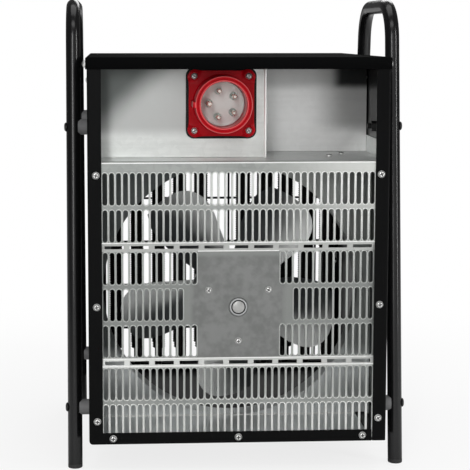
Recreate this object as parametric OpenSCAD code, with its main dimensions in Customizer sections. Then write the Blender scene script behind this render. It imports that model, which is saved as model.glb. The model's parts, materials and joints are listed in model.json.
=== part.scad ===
// Portable industrial fan heater: sheet-metal casing on two tube hoops, three-phase inlet at the rear.
// Millimetres, +Z up. The rear (air intake) faces -Y, the warm air leaves at +Y.
// The origin is on the ground, in the middle of the whole heater's outline.

/* [Casing] */
// Width of the casing over its side walls
body_w = 325; // [305:1:380]
// Depth of the casing from rear face to front face
body_d = 334; // [310:1:400]
// Height of the casing walls, underside to top edge
body_h = 418; // [405:1:460]
// Underside of the casing above the ground
ground_gap = 32.5; // [20:0.5:50]
// Thickness of the casing sheet
sheet = 1.2; // [0.8:0.1:2]
// Outside radius of the folded lower corner
corner_r = 4; // [2:0.5:8]
// Outside radius of the upright folds at the casing's four edges
edge_r = 2.5; // [1:0.5:2.5]
// Width of the side flanges that frame the rear
side_flange = 15; // [13:0.5:15.5]
// Height of the flange along the lower rear edge
bottom_flange = 12.5; // [10:0.5:14]
// Width of the flanges that frame the front
front_flange = 12; // [9:0.5:16]
// Width of the open seam between two flanges
seam_gap = 1; // [0.4:0.1:2]

/* [Roof] */
// Height of the folded lip round the roof
roof_lip = 11.5; // [10:0.5:16]
// Gap between the roof lip and the casing walls
roof_fit = 0.3; // [0.2:0.1:0.8]
// Distance of the roof screws from the rear and front faces
roof_screw_in = 15; // [12:1:40]

/* [Hoops] */
// Outside diameter of the hoop tube
tube_d = 16; // [12:0.5:20]
// Wall of the hoop tube
tube_wall = 1.5; // [1:0.1:2.5]
// Height of the hoops over the ground
hoop_h = 516; // [500:1:580]
// Distance between the leg axes at the height of the handle
leg_gap_top = 167; // [140:1:200]
// Distance between the leg axes at the ground
leg_gap_foot = 281; // [240:1:310]
// Radius of the tube axis in the upper bends
bend_r = 42; // [34:1:50]
// Length of the spacers between tube and casing
spacer_l = 8; // [5:0.5:14]
// Diameter of the spacers
spacer_d = 17; // [14:0.5:20]
// Height of the upper hoop bolts
bolt_top_z = 374; // [370:1:390]
// Height of the lower hoop bolts
bolt_low_z = 66; // [60:1:90]
// Thickness of the end caps under the tubes
cap_t = 4; // [3:0.5:8]

/* [Intake grille] */
// Height of the compartment floor over the ground, level with the top of the grille
deck_z = 340.5; // [338:0.5:350]
// Thickness of the galvanised sheet
zinc_t = 0.8; // [0.6:0.1:1.2]
// Number of slots side by side
slot_cols = 40; // [30:2:40]
// Distance from slot to slot
slot_pitch = 7.39; // [6.8:0.01:7.39]
// Width of one slot
slot_w = 5.2; // [3.5:0.1:5.6]
// Length of one slot
slot_h = 35; // [28:0.5:35]
// Height of the bar between two rows of slots
row_gap = 5; // [4:0.5:5]
// Height of the band that holds a fold
fold_band = 11.5; // [9:0.5:11.5]
// Height of the plain band above the first row
grille_head = 11.5; // [8:0.5:12]
// How far the middle of the grille is set back
fold_step = 3.5; // [1:0.5:6]
// Depth of the top flange of the grille
grille_top_d = 12; // [8:0.5:12.5]
// Slots left out on each side of the middle, in the rows above and below the motor
blank_cols = 6; // [4:1:8]
// Slots left out on each side of the middle, in the motor's own row
blank_cols_mid = 8; // [6:1:10]
// Length of a cross slot in a fold
cross_slot_l = 20.5; // [12:0.5:21]
// Height of a cross slot in a fold
cross_slot_h = 3.6; // [2:0.1:4.5]
// Number of cross slots in a fold
cross_slots = 11; // [7:1:11]

/* [Rear recess] */
// Distance of the recess back panel from the rear face
recess_d = 130; // [124:1:150]
// Distance of the inlet bracket from the rear face
bracket_d = 55; // [52:1:70]
// Right edge of the inlet bracket, from the middle
bracket_right = 33; // [30:1:45]
// Height of the turned-up sides of the compartment floor
deck_upstand = 19; // [10:0.5:19]
// Thickness of the floor, back panel and bracket sheets
deck_t = 1; // [0.8:0.1:1.5]

/* [Inlet] */
// Sideways place of the inlet
inlet_x = -15.6; // [-30:0.1:-10]
// Height of the inlet above the compartment floor
inlet_rise = 60.2; // [48:0.1:60.5]
// Side of the square inlet flange
inlet_sq = 75; // [70:1:80]
// Distance between the inlet's flange screws
inlet_pitch = 60; // [56:0.5:62]
// Outside diameter of the inlet shroud
shroud_d = 62; // [58:0.5:66]
// Bore of the inlet shroud
shroud_bore = 50; // [48:0.5:52]
// Length of the shroud in front of its flange
shroud_l = 38; // [30:0.5:42]
// Pitch circle of the contact pins
pin_circle = 30; // [28:0.5:32]
// Diameter of the contact pins
pin_d = 5; // [4:0.1:5.5]
// Diameter of the earth pin
earth_d = 6; // [5:0.1:6.5]

/* [Fan and motor] */
// Height of the fan axis over the ground
axis_z = 182; // [180:0.5:190]
// Diameter over the blade tips
fan_d = 258; // [220:1:270]
// Number of blades
blades = 5; // [3:1:6]
// Pitch angle of the blades
blade_pitch = 28; // [22:1:32]
// Thickness of the blade sheet
blade_t = 1.2; // [0.8:0.1:2]
// Bore of the opening in the fan panel
throat_d = 294; // [285:1:294]
// Length of the collar round the opening
collar_l = 30; // [15:1:40]
// Distance of the fan panel from the rear face
panel_d = 105; // [100:1:120]
// Length of the panel's foot, which covers the casing bottom behind the grille
foot_l = 96; // [15:1:96]
// Distance of the hub disc from the rear face
hub_y = 120; // [118:1:135]
// Turn of the wheel at rest, from a blade that stands straight up
blade_turn = 41; // [0:1:72]
// Outside diameter of the motor
motor_d = 94; // [84:1:100]
// Length of the motor shell
motor_l = 60; // [50:1:64]
// Shaft diameter
shaft_d = 8; // [6:0.5:10]
// Radius on which the motor screws sit
motor_screw_r = 37.5; // [30:0.5:40]
// Radial running clearance of turning shafts
run_fit = 0.04; // [0.02:0.01:0.1]

/* [Heater] */
// Number of heater rods on each side of the middle
rods_side = 5; // [2:1:5]
// Distance from rod to rod
rod_pitch = 26.4; // [22:0.1:28]
// Diameter over the fins of a rod
rod_d = 15.6; // [12:0.1:18]
// Diameter of the rod's core
rod_core = 8.4; // [6:0.1:10]
// Distance between the two legs of a rod
rod_legs = 30; // [24:1:40]
// Distance of the rods' middle from the rear face
rod_y = 242; // [220:1:260]
// Height of the rods' lower bends over the ground
rod_foot_z = 62; // [55:1:90]
// Pitch of the wires in the front guard
wire_pitch = 57; // [40:0.5:60]
// Height of the guard's lowest wire over the ground
wire_z = 93; // [80:0.5:110]
// Thickness of the guard wires
wire_d = 2.8; // [2:0.1:4]
// Sideways place of the guard's middle wire
wire_x = 15.5; // [0:0.5:20]
// Thickness of the guard's rim
guard_rim = 5; // [4:0.5:6]

/* [Controls] */
// Sideways distance of the knobs from the middle
knob_x = 70; // [50:1:90]
// Height of the controls over the compartment floor
knob_rise = 56; // [40:1:70]
// Diameter of the knobs
knob_d = 40; // [30:1:46]
// Height of the knobs
knob_h = 22; // [16:1:28]
// Travel of the reset button
reset_travel = 2.5; // [1.5:0.5:4]

/* [Screws] */
// Head diameter of the small screws
head_d = 8; // [6:0.5:9]
// Head height of the small screws
head_h = 2.4; // [1.6:0.1:3]
// Shank diameter of the small screws
screw_d = 4; // [3:0.1:4.5]
// Clearance round a screw in its hole
screw_fit = 0.15; // [0.1:0.05:0.4]

/* [Hidden] */
$fn = 48;

eps = 0.01;
seat = 0.3;                                  // small gap where one piece sits beside another
top_z = ground_gap + body_h;                 // top edge of the walls
wall_x = body_w / 2;                         // outer face of a side wall
inner_x = wall_x - sheet;                    // inner face of a side wall
base_z = ground_gap + sheet;                 // upper face of the casing bottom
fascia_y = body_d - 2 * sheet;               // rear face of the fascia sheet
front_y = body_d - sheet;                    // front face of the fascia sheet
knob_gap = 0.4;
front_reach = knob_gap + knob_h - sheet;     // how far the knobs stand in front of the casing
total_d = head_h + body_d + front_reach;
rear_y = head_h - total_d / 2;               // place of the rear face in the heater's own frame
grille_y = sheet;                            // rear face of the grille sheet
back_y = grille_y + fold_step;               // rear face of the grille's set-back middle
motor_y = back_y + zinc_t;                   // rear face of the motor's mounting face
cover_t = 10;
bearing_d = 22;
bearing_w = 7;
shell_y = motor_y + cover_t;
nose_y = shell_y + motor_l;
motor_end = nose_y + cover_t;
slide_fit = 0.1;
inlet_z = deck_z + inlet_rise;
gasket_t = 1.6;
flange_t = 5;
flange_y = bracket_d - gasket_t - flange_t;  // outer face of the inlet flange
shroud_y = flange_y - shroud_l;
cavity_y = bracket_d + 8;                    // bottom of the bore in the inlet housing
hoop_x = wall_x + spacer_l + tube_d / 2;
mid_y = body_d / 2;
hoop_axis_z = hoop_h - tube_d / 2;
lean = atan((leg_gap_foot - leg_gap_top) / 2 / hoop_axis_z);
bend_run = bend_r * tan((90 - lean) / 2);
bolt_d = 6;
bolt_head_d = 10;
bolt_head_h = 2.4;
nut_af = 10;
nut_h = 6;
washer_d = 14;
washer_t = 1.2;
bolt_tip = 3;
inside_z = base_z + corner_r - sheet;        // foot of the sheets that stand in the casing
guard_y = front_y - seat - guard_rim / 2;
guard_x = wall_x - front_flange - 1 - guard_rim / 2;
guard_low = ground_gap + front_flange + 1 + guard_rim / 2;
fascia_foot = deck_z - 4;
guard_high = fascia_foot - sheet - seat - guard_rim / 2;
front_rows = [base_z + 8, axis_z, deck_z + 14, top_z - 22];
control_shaft_d = 6;
control_back = 30;                           // depth of the rotary controls behind the fascia
selector_w = 44;
thermostat_w = 36;
cutout_d = 24;
cutout_l = 26;
button_d = 6;
button_stop = 1.4;                           // thickness of the reset button's collar
spring_room = 7;                             // length of the reset spring at rest
nose_t = 1.6;                                // how far the button's bush stands out of the fascia
rim_x = wall_x - 9;                          // line of the screws in the side flanges
rim_rows = [deck_z - 14, axis_z + 2, ground_gap + bottom_flange + 13];
rim_foot_x = [-wall_x + 26, 0, wall_x - 26];
knob_z = deck_z + knob_rise;
floor_screw_x = [107, 125];
floor_screw_y = [-36, -10];                  // measured from the fan panel
rod_top_z = deck_z + 22;
bend_z = rod_foot_z + rod_legs / 2 + rod_core / 2;   // centre of the heater rods' lower bends
bend_swell = 0.2;                            // the tube is a little thicker in its bends
bend_lap = 0.4;                              // and its straights run this far into them
screw_row_z = deck_z + 86;                   // height of the screws that hold the recess sheets

function leg_y(z) = leg_gap_top / 2 + (hoop_axis_z - z) * tan(lean);
function row_top(r) = deck_z - grille_head - r * (slot_h + row_gap)
                      - (r > 1 ? fold_band - row_gap : 0) - (r > 4 ? fold_band - row_gap : 0);
function fold_z(r) = row_top(r) + fold_band / 2;
function blank(r) = r == 3 ? blank_cols_mid : (r == 2 || r == 4) ? blank_cols : 0;

// The pieces below are drawn with y = 0 on the rear face of the casing.
module placed() translate([0, rear_y, 0]) children();

module box(x, y, z) translate([x[0], y[0], z[0]]) cube([x[1] - x[0], y[1] - y[0], z[1] - z[0]]);

// Round bar along Y from y0 to y1.
module rod_y(d, x, z, y0, y1) translate([x, y0, z]) rotate([-90, 0, 0]) cylinder(d = d, h = y1 - y0);

// Round bar along X from x0 to x1.
module rod_x(d, y, z, x0, x1) translate([x0, y, z]) rotate([0, 90, 0]) cylinder(d = d, h = x1 - x0);

// Plate outline with rounded corners, centred.
module round_rect(w, h, r) {
  square([w - 2 * r, h], center = true);
  square([w, h - 2 * r], center = true);
  for (sx = [-1, 1], sy = [-1, 1]) translate([sx * (w / 2 - r), sy * (h / 2 - r)]) circle(r);
}

// Outline drawn in X and Z, extruded along Y.
module upright(y0, y1) translate([0, y1, 0]) rotate([90, 0, 0]) linear_extrude(y1 - y0) children();

// Domed head on a straight shank, standing on the plane z = 0 with the shank below it.
module pan_screw(hd, hh, sd, len) {
  dome_r = (pow(hd / 2, 2) + pow(hh, 2)) / (2 * hh);
  intersection() {
    translate([0, 0, hh - dome_r]) sphere(dome_r);
    cylinder(d = hd, h = hh);
  }
  translate([0, 0, -len]) cylinder(d = sd, h = len + eps);
}

module hex_nut(af, h, bore) difference() {
  cylinder(d = af / cos(30), h = h, $fn = 6);
  translate([0, 0, -eps]) cylinder(d = bore, h = h + 2 * eps);
}

// Turn a piece that stands along +Z so that it points to the rear, to the front, or out at a side.
module to_rear() rotate([90, 0, 0]) children();
module to_front() rotate([-90, 0, 0]) children();
module to_side(s) rotate([0, s * 90, 0]) children();

// Places that more than one piece shares
module at_rim() {
  for (s = [-1, 1], z = rim_rows) translate([s * rim_x, 0, z]) children();
  for (x = rim_foot_x) translate([x, 0, ground_gap + bottom_flange / 2]) children();
}
module at_front(rows = front_rows) for (s = [-1, 1], z = rows)
  translate([s * (wall_x - front_flange / 2), front_y, z]) children();
module at_hoop_bolts(s) {
  for (k = [-1, 1], z = [bolt_top_z, bolt_low_z]) translate([s * wall_x, mid_y + k * leg_y(z), z]) children();
}
module at_roof_screws(s) {
  for (y = [roof_screw_in, body_d - roof_screw_in])
    translate([s * (wall_x + roof_fit + sheet), y, top_z - roof_lip / 2]) children();
}
module at_motor_screws() for (a = [30, 150, 270])
  translate([motor_screw_r * cos(a), 0, axis_z + motor_screw_r * sin(a)]) children();
module at_floor_screws() for (s = [-1, 1], k = [0, 1])
  translate([s * floor_screw_x[k], panel_d + floor_screw_y[k], deck_z]) children();
module at_inlet_screws() for (sx = [-1, 1], sz = [-1, 1])
  translate([inlet_x + sx * inlet_pitch / 2, 0, inlet_z + sz * inlet_pitch / 2]) children();
module at_rods() for (s = [-1, 1], k = [1:rods_side]) translate([s * k * rod_pitch, rod_y, 0]) children();

module at_side_screws(s) for (y = s < 0 ? [recess_d + 8, bracket_d - 8] : [recess_d + 8])
  translate([s * wall_x, y, screw_row_z]) children();

module small_hole(len) cylinder(d = screw_d + 2 * screw_fit, h = len, center = true);

// Holes in a side wall, for its bolts and screws
module wall_holes(s) {
  at_hoop_bolts(s) to_side(1) cylinder(d = bolt_d + 2 * screw_fit, h = 6 * sheet, center = true);
  at_roof_screws(s) to_side(1) small_hole(8 * sheet);
  at_side_screws(s) to_side(1) small_hole(6 * sheet);
}

// The casing's upright edges are folded round; this trims both casing sheets to that outline.
module folded_edges() intersection() {
  translate([0, mid_y, ground_gap]) linear_extrude(body_h) round_rect(body_w, body_d, edge_r);
  children();
}

module casing_wrap() color([0.06, 0.06, 0.065]) placed() difference() {
  folded_edges() union() {
    // left wall, rounded corner and bottom as one folded sheet
    upright(0, body_d) difference() {
      union() {
        translate([-wall_x, ground_gap + corner_r]) square([sheet, body_h - corner_r]);
        translate([-wall_x + corner_r, ground_gap]) square([body_w - corner_r - sheet - seat, sheet]);
        translate([-wall_x + corner_r, ground_gap + corner_r]) difference() {
          circle(corner_r);
          circle(corner_r - sheet);
          translate([0, -2 * corner_r]) square(4 * corner_r);
          translate([-2 * corner_r, 0]) square(4 * corner_r);
        }
      }
    }
    flange_frame(0, side_flange, bottom_flange);
    flange_frame(body_d - sheet, front_flange, front_flange);
  }
  // the bottom sheet is notched where the side panel's flanges reach down
  for (y = [-eps, body_d - sheet - seat])
    box([wall_x - side_flange - seam_gap, wall_x], [y, y + sheet + seat + eps], [ground_gap - 1, ground_gap + 2 * sheet]);
  at_rim() to_rear() small_hole(6 * sheet);
  at_front() to_rear() small_hole(6 * sheet);
  wall_holes(-1);
}

// Left and lower flange of one face of the casing
module flange_frame(y, side, foot) upright(y, y + sheet) {
  translate([-wall_x, ground_gap + corner_r]) square([side, body_h - corner_r]);
  translate([-wall_x + corner_r, ground_gap]) square([body_w - corner_r - side - seam_gap, foot]);
  translate([-wall_x + corner_r, ground_gap + corner_r]) circle(corner_r);
}

module side_panel() color([0.06, 0.06, 0.065]) placed() difference() {
  folded_edges() union() {
    box([inner_x, wall_x], [0, body_d], [ground_gap, top_z]);
    box([wall_x - side_flange, wall_x], [0, sheet], [ground_gap, top_z]);
    box([wall_x - front_flange, wall_x], [body_d - sheet, body_d], [ground_gap, top_z]);
    box([wall_x - side_flange, inner_x + eps], [sheet + seat, body_d - sheet], [base_z, base_z + sheet]);
  }
  at_rim() to_rear() small_hole(6 * sheet);
  at_front() to_rear() small_hole(6 * sheet);
  wall_holes(1);
}

module roof() color([0.05, 0.05, 0.055]) placed() difference() {
  grow = roof_fit + sheet;
  translate([0, mid_y, top_z + seat - roof_lip])
    linear_extrude(roof_lip + sheet) round_rect(body_w + 2 * grow, body_d + 2 * grow, edge_r + grow);
  translate([0, mid_y, top_z + seat - roof_lip - eps]) linear_extrude(roof_lip + eps)
    round_rect(body_w + 2 * roof_fit, body_d + 2 * roof_fit, edge_r + roof_fit);
  for (s = [-1, 1]) at_roof_screws(s) to_side(1) small_hole(8 * sheet);
}

module roof_screws() color([0.8, 0.8, 0.8]) placed()
  for (s = [-1, 1]) at_roof_screws(s) to_side(s) pan_screw(head_d, head_h + 1, screw_d, 6);

module rim_screws() color([0.8, 0.8, 0.8]) placed() at_rim() to_rear() pan_screw(head_d, head_h, screw_d, 7);

module front_screws() color([0.15, 0.15, 0.15]) placed() at_front()
  translate([0, sheet, 0]) to_front() pan_screw(head_d, head_h, screw_d, 7);

module side_screws() color([0.8, 0.8, 0.8]) placed() for (s = [-1, 1])
  at_side_screws(s) to_side(s) pan_screw(head_d - 2, head_h - 0.6, screw_d, 5);

// Long slots of the grille as an outline in X and Z
module slot_outline() {
  for (r = [0:6], c = [blank(r):slot_cols / 2 - 1], s = [-1, 1])
    translate([s * (c + 0.5) * slot_pitch, row_top(r) - slot_h / 2]) {
      square([slot_w, slot_h - slot_w], center = true);
      for (k = [-1, 1]) translate([0, k * (slot_h - slot_w) / 2]) circle(d = slot_w, $fn = 24);
    }
}

module cross_slot_outline() for (r = [2, 5], c = [0:cross_slots - 1]) {
  pitch = slot_cols * slot_pitch / cross_slots;
  translate([(c - (cross_slots - 1) / 2) * pitch, fold_z(r)]) square([cross_slot_l, cross_slot_h], center = true);
}

module intake_grille() color([0.75, 0.77, 0.77]) placed() {
  half = inner_x - seat;
  foot = inside_z;
  ramp = fold_band / 2 - 1;
  difference() {
    // folded sheet: upper part, set-back middle, lower part and the flange along the top
    translate([-half, 0, 0]) rotate([90, 0, 90]) linear_extrude(2 * half) polygon([
      [grille_y, foot], [grille_y, fold_z(5) - ramp], [back_y, fold_z(5) + ramp],
      [back_y, fold_z(2) - ramp], [grille_y, fold_z(2) + ramp], [grille_y, deck_z],
      [grille_y + grille_top_d, deck_z], [grille_y + grille_top_d, deck_z - zinc_t],
      [grille_y + zinc_t, deck_z - zinc_t], [grille_y + zinc_t, fold_z(2) + ramp],
      [back_y + zinc_t, fold_z(2) - ramp], [back_y + zinc_t, fold_z(5) + ramp],
      [grille_y + zinc_t, fold_z(5) - ramp], [grille_y + zinc_t, foot]]);
    upright(grille_y - 1, back_y + 2) slot_outline();
    upright(grille_y - 1, back_y + 2) cross_slot_outline();
    at_rim() to_rear() small_hole(30);
    at_motor_screws() to_rear() small_hole(30);
    rod_y(bearing_d - 1, 0, axis_z, 0, 12);
  }
}

module compartment_floor() color([0.78, 0.79, 0.79]) placed() difference() {
  edge = inner_x - seat;
  y0 = grille_y + grille_top_d + 0.8;
  union() {
    box([-edge, edge], [y0, fascia_y - seat], [deck_z - deck_t, deck_z]);
    for (s = [-1, 1]) box([min(s * edge, s * (edge - deck_t)), max(s * edge, s * (edge - deck_t))],
                          [y0, fascia_y - seat], [deck_z - deck_t, deck_z + deck_upstand]);
  }
  at_floor_screws() small_hole(6);
  at_rods() for (k = [-1, 1]) translate([0, k * rod_legs / 2, deck_z])
    cylinder(d = rod_core + 0.6, h = 6, center = true);
}

module floor_screws() color([0.8, 0.8, 0.8]) placed() at_floor_screws() pan_screw(head_d - 1, head_h, screw_d, 6);

module recess_back_panel() color([0.78, 0.79, 0.79]) placed() difference() {
  edge = inner_x - seat - deck_t - seat;
  union() {
    box([-edge, edge], [recess_d, recess_d + deck_t], [deck_z + seat, top_z - seat]);
    for (s = [-1, 1]) box([min(s * edge, s * (edge - deck_t)), max(s * edge, s * (edge - deck_t))],
                          [recess_d, recess_d + 16], [deck_z + seat, top_z - seat]);
  }
  for (s = [-1, 1]) at_side_screws(s) to_side(1) small_hole(14);
}

module inlet_bracket() color([0.78, 0.79, 0.79]) placed() difference() {
  left = -inner_x + seat + deck_t + seat;
  z0 = deck_z + seat;
  z1 = top_z - seat;
  union() {
    box([left, bracket_right], [bracket_d, bracket_d + deck_t], [z0, z1]);
    box([left, left + deck_t], [bracket_d - 18, bracket_d + deck_t], [z0, z1]);
    box([bracket_right - deck_t, bracket_right], [bracket_d, recess_d - seat], [z0, z1]);
    box([bracket_right - 14, bracket_right], [recess_d - seat - deck_t, recess_d - seat], [z0, z1]);
    box([left, bracket_right], [bracket_d, bracket_d + 8], [z0, z0 + deck_t]);
  }
  rod_y(shroud_d - 1, inlet_x, inlet_z, bracket_d - 1, bracket_d + 3);
  at_inlet_screws() translate([0, bracket_d, 0]) to_rear() small_hole(8);
  at_side_screws(-1) to_side(1) small_hole(14);
}

module inlet_gasket() color([0.03, 0.03, 0.03]) placed() difference() {
  translate([inlet_x, 0, inlet_z]) upright(bracket_d - gasket_t, bracket_d) round_rect(inlet_sq + 3, inlet_sq + 3, 9);
  rod_y(shroud_d - 1, inlet_x, inlet_z, 0, recess_d);
  at_inlet_screws() translate([0, bracket_d, 0]) to_rear() small_hole(8);
}

module inlet_housing() color([0.72, 0.06, 0.08]) placed() translate([inlet_x, 0, inlet_z]) difference() {
  lug = 9;
  union() {
    // flange with round corner lugs and slightly drawn-in edges
    upright(flange_y, flange_y + flange_t) {
      square(inlet_sq - 5, center = true);
      for (sx = [-1, 1], sy = [-1, 1]) translate([sx, sy] * (inlet_sq / 2 - lug)) circle(lug);
    }
    rod_y(shroud_d, 0, 0, shroud_y, flange_y + eps);
    rod_y(shroud_d - 2, 0, 0, flange_y + flange_t - eps, cavity_y + 26);
    // key rib on the left of the shroud
    box([-shroud_d / 2 - 2.6, -shroud_d / 2 + 2], [shroud_y, flange_y + eps], [-3.5, 3.5]);
  }
  rod_y(shroud_bore, 0, 0, shroud_y - 1, cavity_y);
  box([-shroud_bore / 2 - 3, 0], [shroud_y - 1, cavity_y], [-2.5, 2.5]);
  for (a = [0:72:359]) rotate([0, -a - 34, 0]) rod_y(earth_d + 1, pin_circle / 2, 0, cavity_y - 1, recess_d);
  for (sx = [-1, 1], sz = [-1, 1]) translate([sx * inlet_pitch / 2, flange_y, sz * inlet_pitch / 2])
    to_rear() small_hole(30);
}

module inlet_insert() color([0.74, 0.72, 0.66]) placed() translate([inlet_x, 0, inlet_z]) difference() {
  y0 = cavity_y - 20;
  union() {
    rod_y(shroud_bore - 2 * slide_fit, 0, 0, y0, cavity_y - slide_fit);
    rod_y(pin_circle - 12, 0, 0, y0 - 2, y0 + eps);
  }
  for (k = [0:4]) rotate([0, -72 * k - 34, 0])
    rod_y((k == 2 ? earth_d : pin_d) + 2 * slide_fit, pin_circle / 2, 0, 0, recess_d);
}

module inlet_pins() color([0.82, 0.74, 0.5]) placed() translate([inlet_x, 0, inlet_z])
  for (k = [0:4]) rotate([0, -72 * k - 34, 0]) {
    d = k == 2 ? earth_d : pin_d;
    rod_y(d, pin_circle / 2, 0, shroud_y + 12, cavity_y + 20);
    rod_y(d - 1.6, pin_circle / 2, 0, shroud_y + 10.6, shroud_y + 13);
  }

module inlet_screws() color([0.8, 0.8, 0.8]) placed() at_inlet_screws()
  translate([0, flange_y, 0]) to_rear() pan_screw(head_d - 1, head_h, screw_d, flange_t + gasket_t + 4);

// The bent hoop as a bar of the given diameter: handle, two bends and two leaning legs
module bent_bar(d) {
  reach = leg_gap_top / 2 - bend_run;
  start = bend_run - bend_lap;
  rod_y(d, 0, hoop_axis_z, -reach - bend_lap, reach + bend_lap);
  for (m = [0, 1]) mirror([0, m, 0]) {
    translate([0, reach, hoop_axis_z - bend_r]) rotate([90, 0, 90]) rotate([0, 0, lean])
      rotate_extrude(angle = 90 - lean) translate([bend_r, 0]) circle(d = d + bend_swell);
    translate([0, leg_gap_top / 2 + start * sin(lean), hoop_axis_z - start * cos(lean)])
      rotate([180 + lean, 0, 0]) cylinder(d = d, h = hoop_axis_z / cos(lean) - cap_t - start);
  }
}

module hoop(s) placed() translate([s * hoop_x, mid_y, 0]) difference() {
  bent_bar(tube_d);
  bent_bar(tube_d - 2 * tube_wall);
  translate([-s * hoop_x, -mid_y, 0]) at_hoop_bolts(s) translate([s * (hoop_x - wall_x), 0, 0]) to_side(1)
    cylinder(d = bolt_d + 2 * screw_fit, h = tube_d + 4, center = true);
}
module hoop_left() color([0.03, 0.03, 0.035]) hoop(-1);
module hoop_right() color([0.03, 0.03, 0.035]) hoop(1);

// End cap with a plug that sits in the tube; its sole is cut level with the ground
module foot_caps() color([0.09, 0.09, 0.09]) placed() for (s = [-1, 1], k = [-1, 1])
  translate([s * hoop_x, mid_y + k * leg_gap_foot / 2, 0]) intersection() {
    rotate([k * lean, 0, 0]) {
      translate([0, 0, -cap_t]) cylinder(d = tube_d, h = 2 * cap_t - 0.05);
      cylinder(d = tube_d - 2 * tube_wall - 2 * slide_fit, h = cap_t + 12);
    }
    translate([-tube_d, -tube_d, 0]) cube([2 * tube_d, 2 * tube_d, 3 * tube_d]);
  }

module frame_spacers() color([0.2, 0.2, 0.21]) placed() for (s = [-1, 1]) difference() {
  at_hoop_bolts(s) to_side(s) cylinder(d = spacer_d, h = spacer_l + 3);
  at_hoop_bolts(s) to_side(1) cylinder(d = bolt_d + 2 * screw_fit, h = 60, center = true);
  translate([s * hoop_x, mid_y, 0]) bent_bar(tube_d + 0.1);
}

module frame_bolts() color([0.05, 0.05, 0.05]) placed() for (s = [-1, 1]) at_hoop_bolts(s)
  translate([s * (spacer_l + tube_d), 0, 0]) to_side(s)
    pan_screw(bolt_head_d, bolt_head_h, bolt_d, spacer_l + tube_d + sheet + deck_t + seat + washer_t + nut_h + bolt_tip);

module frame_nuts() color([0.08, 0.08, 0.08]) placed() for (s = [-1, 1]) at_hoop_bolts(s)
  translate([-s * sheet, 0, 0]) to_side(-s) {
    difference() {
      cylinder(d = washer_d, h = washer_t);
      translate([0, 0, -1]) cylinder(d = bolt_d + 0.1, h = 4);
    }
    translate([0, 0, washer_t]) hex_nut(nut_af, nut_h, bolt_d + 0.1);
  }

module fan_panel() color([0.74, 0.76, 0.76]) placed() difference() {
  edge = inner_x - seat;
  foot = inside_z;
  head = deck_z - deck_t;
  left = corner_r + 1 - edge;
  right = wall_x - side_flange - 1;
  union() {
    box([-edge, edge], [panel_d, panel_d + deck_t], [foot, head]);
    box([left, right], [panel_d - foot_l, panel_d + deck_t], [base_z, base_z + deck_t]);
    box([left, right], [panel_d, panel_d + deck_t], [base_z, foot + eps]);
    box([-edge, edge], [panel_d - 45, panel_d], [head - deck_t, head]);
    for (s = [-1, 1]) box([min(s * edge, s * (edge - deck_t)), max(s * edge, s * (edge - deck_t))],
                          [panel_d - 8, panel_d], [foot, head]);
    rod_y(throat_d + 2 * deck_t, 0, axis_z, panel_d, panel_d + collar_l);
  }
  rod_y(throat_d, 0, axis_z, panel_d - 1, panel_d + collar_l + 1);
  at_floor_screws() small_hole(12);
}

module motor_rear_cover() color([0.62, 0.63, 0.64]) placed() difference() {
  union() {
    rod_y(motor_d, 0, axis_z, motor_y, shell_y);
    rod_y(bearing_d - 1.6, 0, axis_z, back_y - 0.4, motor_y + eps);
    rod_y(bearing_d + 8, 0, axis_z, motor_y, shell_y + 4);
  }
  rod_y(bearing_d + 2 * 0.02, 0, axis_z, shell_y + 4 - bearing_w, shell_y + 5);
  rod_y(shaft_d + 3, 0, axis_z, shell_y - 6, shell_y + 5);
  rod_y(14.6, 0, axis_z, back_y - 1, back_y + 0.2);
  at_motor_screws() to_rear() cylinder(d = screw_d + 2 * screw_fit, h = 34, center = true);
}

module motor_shell() color([0.55, 0.56, 0.57]) placed() difference() {
  rod_y(motor_d, 0, axis_z, shell_y, nose_y);
  rod_y(motor_d - 4, 0, axis_z, shell_y - 1, nose_y + 1);
}

module motor_front_cover() color([0.62, 0.63, 0.64]) placed() difference() {
  union() {
    rod_y(motor_d, 0, axis_z, nose_y, nose_y + 3);
    rod_y(motor_d - 12, 0, axis_z, nose_y + 3 - eps, nose_y + 6);
    rod_y(bearing_d + 8, 0, axis_z, nose_y - 4, motor_end);
  }
  rod_y(bearing_d + 2 * 0.02, 0, axis_z, nose_y - 5, nose_y - 4 + bearing_w);
  rod_y(shaft_d + 3, 0, axis_z, nose_y - 5, motor_end + 1);
  for (a = [0:45:359]) translate([0, 0, axis_z]) rotate([0, a, 0]) rod_y(9, motor_d / 2 - 14, 0, nose_y - 1, motor_end);
}

module motor_screws() color([0.82, 0.82, 0.82]) placed() at_motor_screws()
  translate([0, back_y, 0]) to_rear() pan_screw(head_d - 0.6, head_h, screw_d, zinc_t + 8);

module stator_core() color([0.4, 0.4, 0.42]) placed() difference() {
  rod_y(motor_d - 4 - 2 * slide_fit, 0, axis_z, shell_y + 12, nose_y - 12);
  rod_y(53, 0, axis_z, shell_y, nose_y);
}

module stator_winding() color([0.72, 0.38, 0.16]) placed() for (y = [shell_y + 5.5, nose_y - 12]) difference() {
  rod_y(motor_d - 12, 0, axis_z, y, y + 6.5);
  rod_y(58, 0, axis_z, y - 1, y + 8);
}

module rotor_core() color([0.5, 0.5, 0.52]) placed() difference() {
  rod_y(52, 0, axis_z, shell_y + 12, nose_y - 12);
  rod_y(shaft_d, 0, axis_z, shell_y, nose_y);
}

module motor_shaft() color([0.75, 0.75, 0.77]) placed() {
  rod_y(shaft_d, 0, axis_z, shell_y - 5, hub_y + 14);
}

module motor_bearings() color([0.66, 0.67, 0.68]) placed() for (y = [shell_y + 4 - bearing_w, nose_y - 4]) difference() {
  rod_y(bearing_d, 0, axis_z, y, y + bearing_w);
  rod_y(shaft_d + 2 * run_fit, 0, axis_z, y - 1, y + bearing_w + 1);
}

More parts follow.
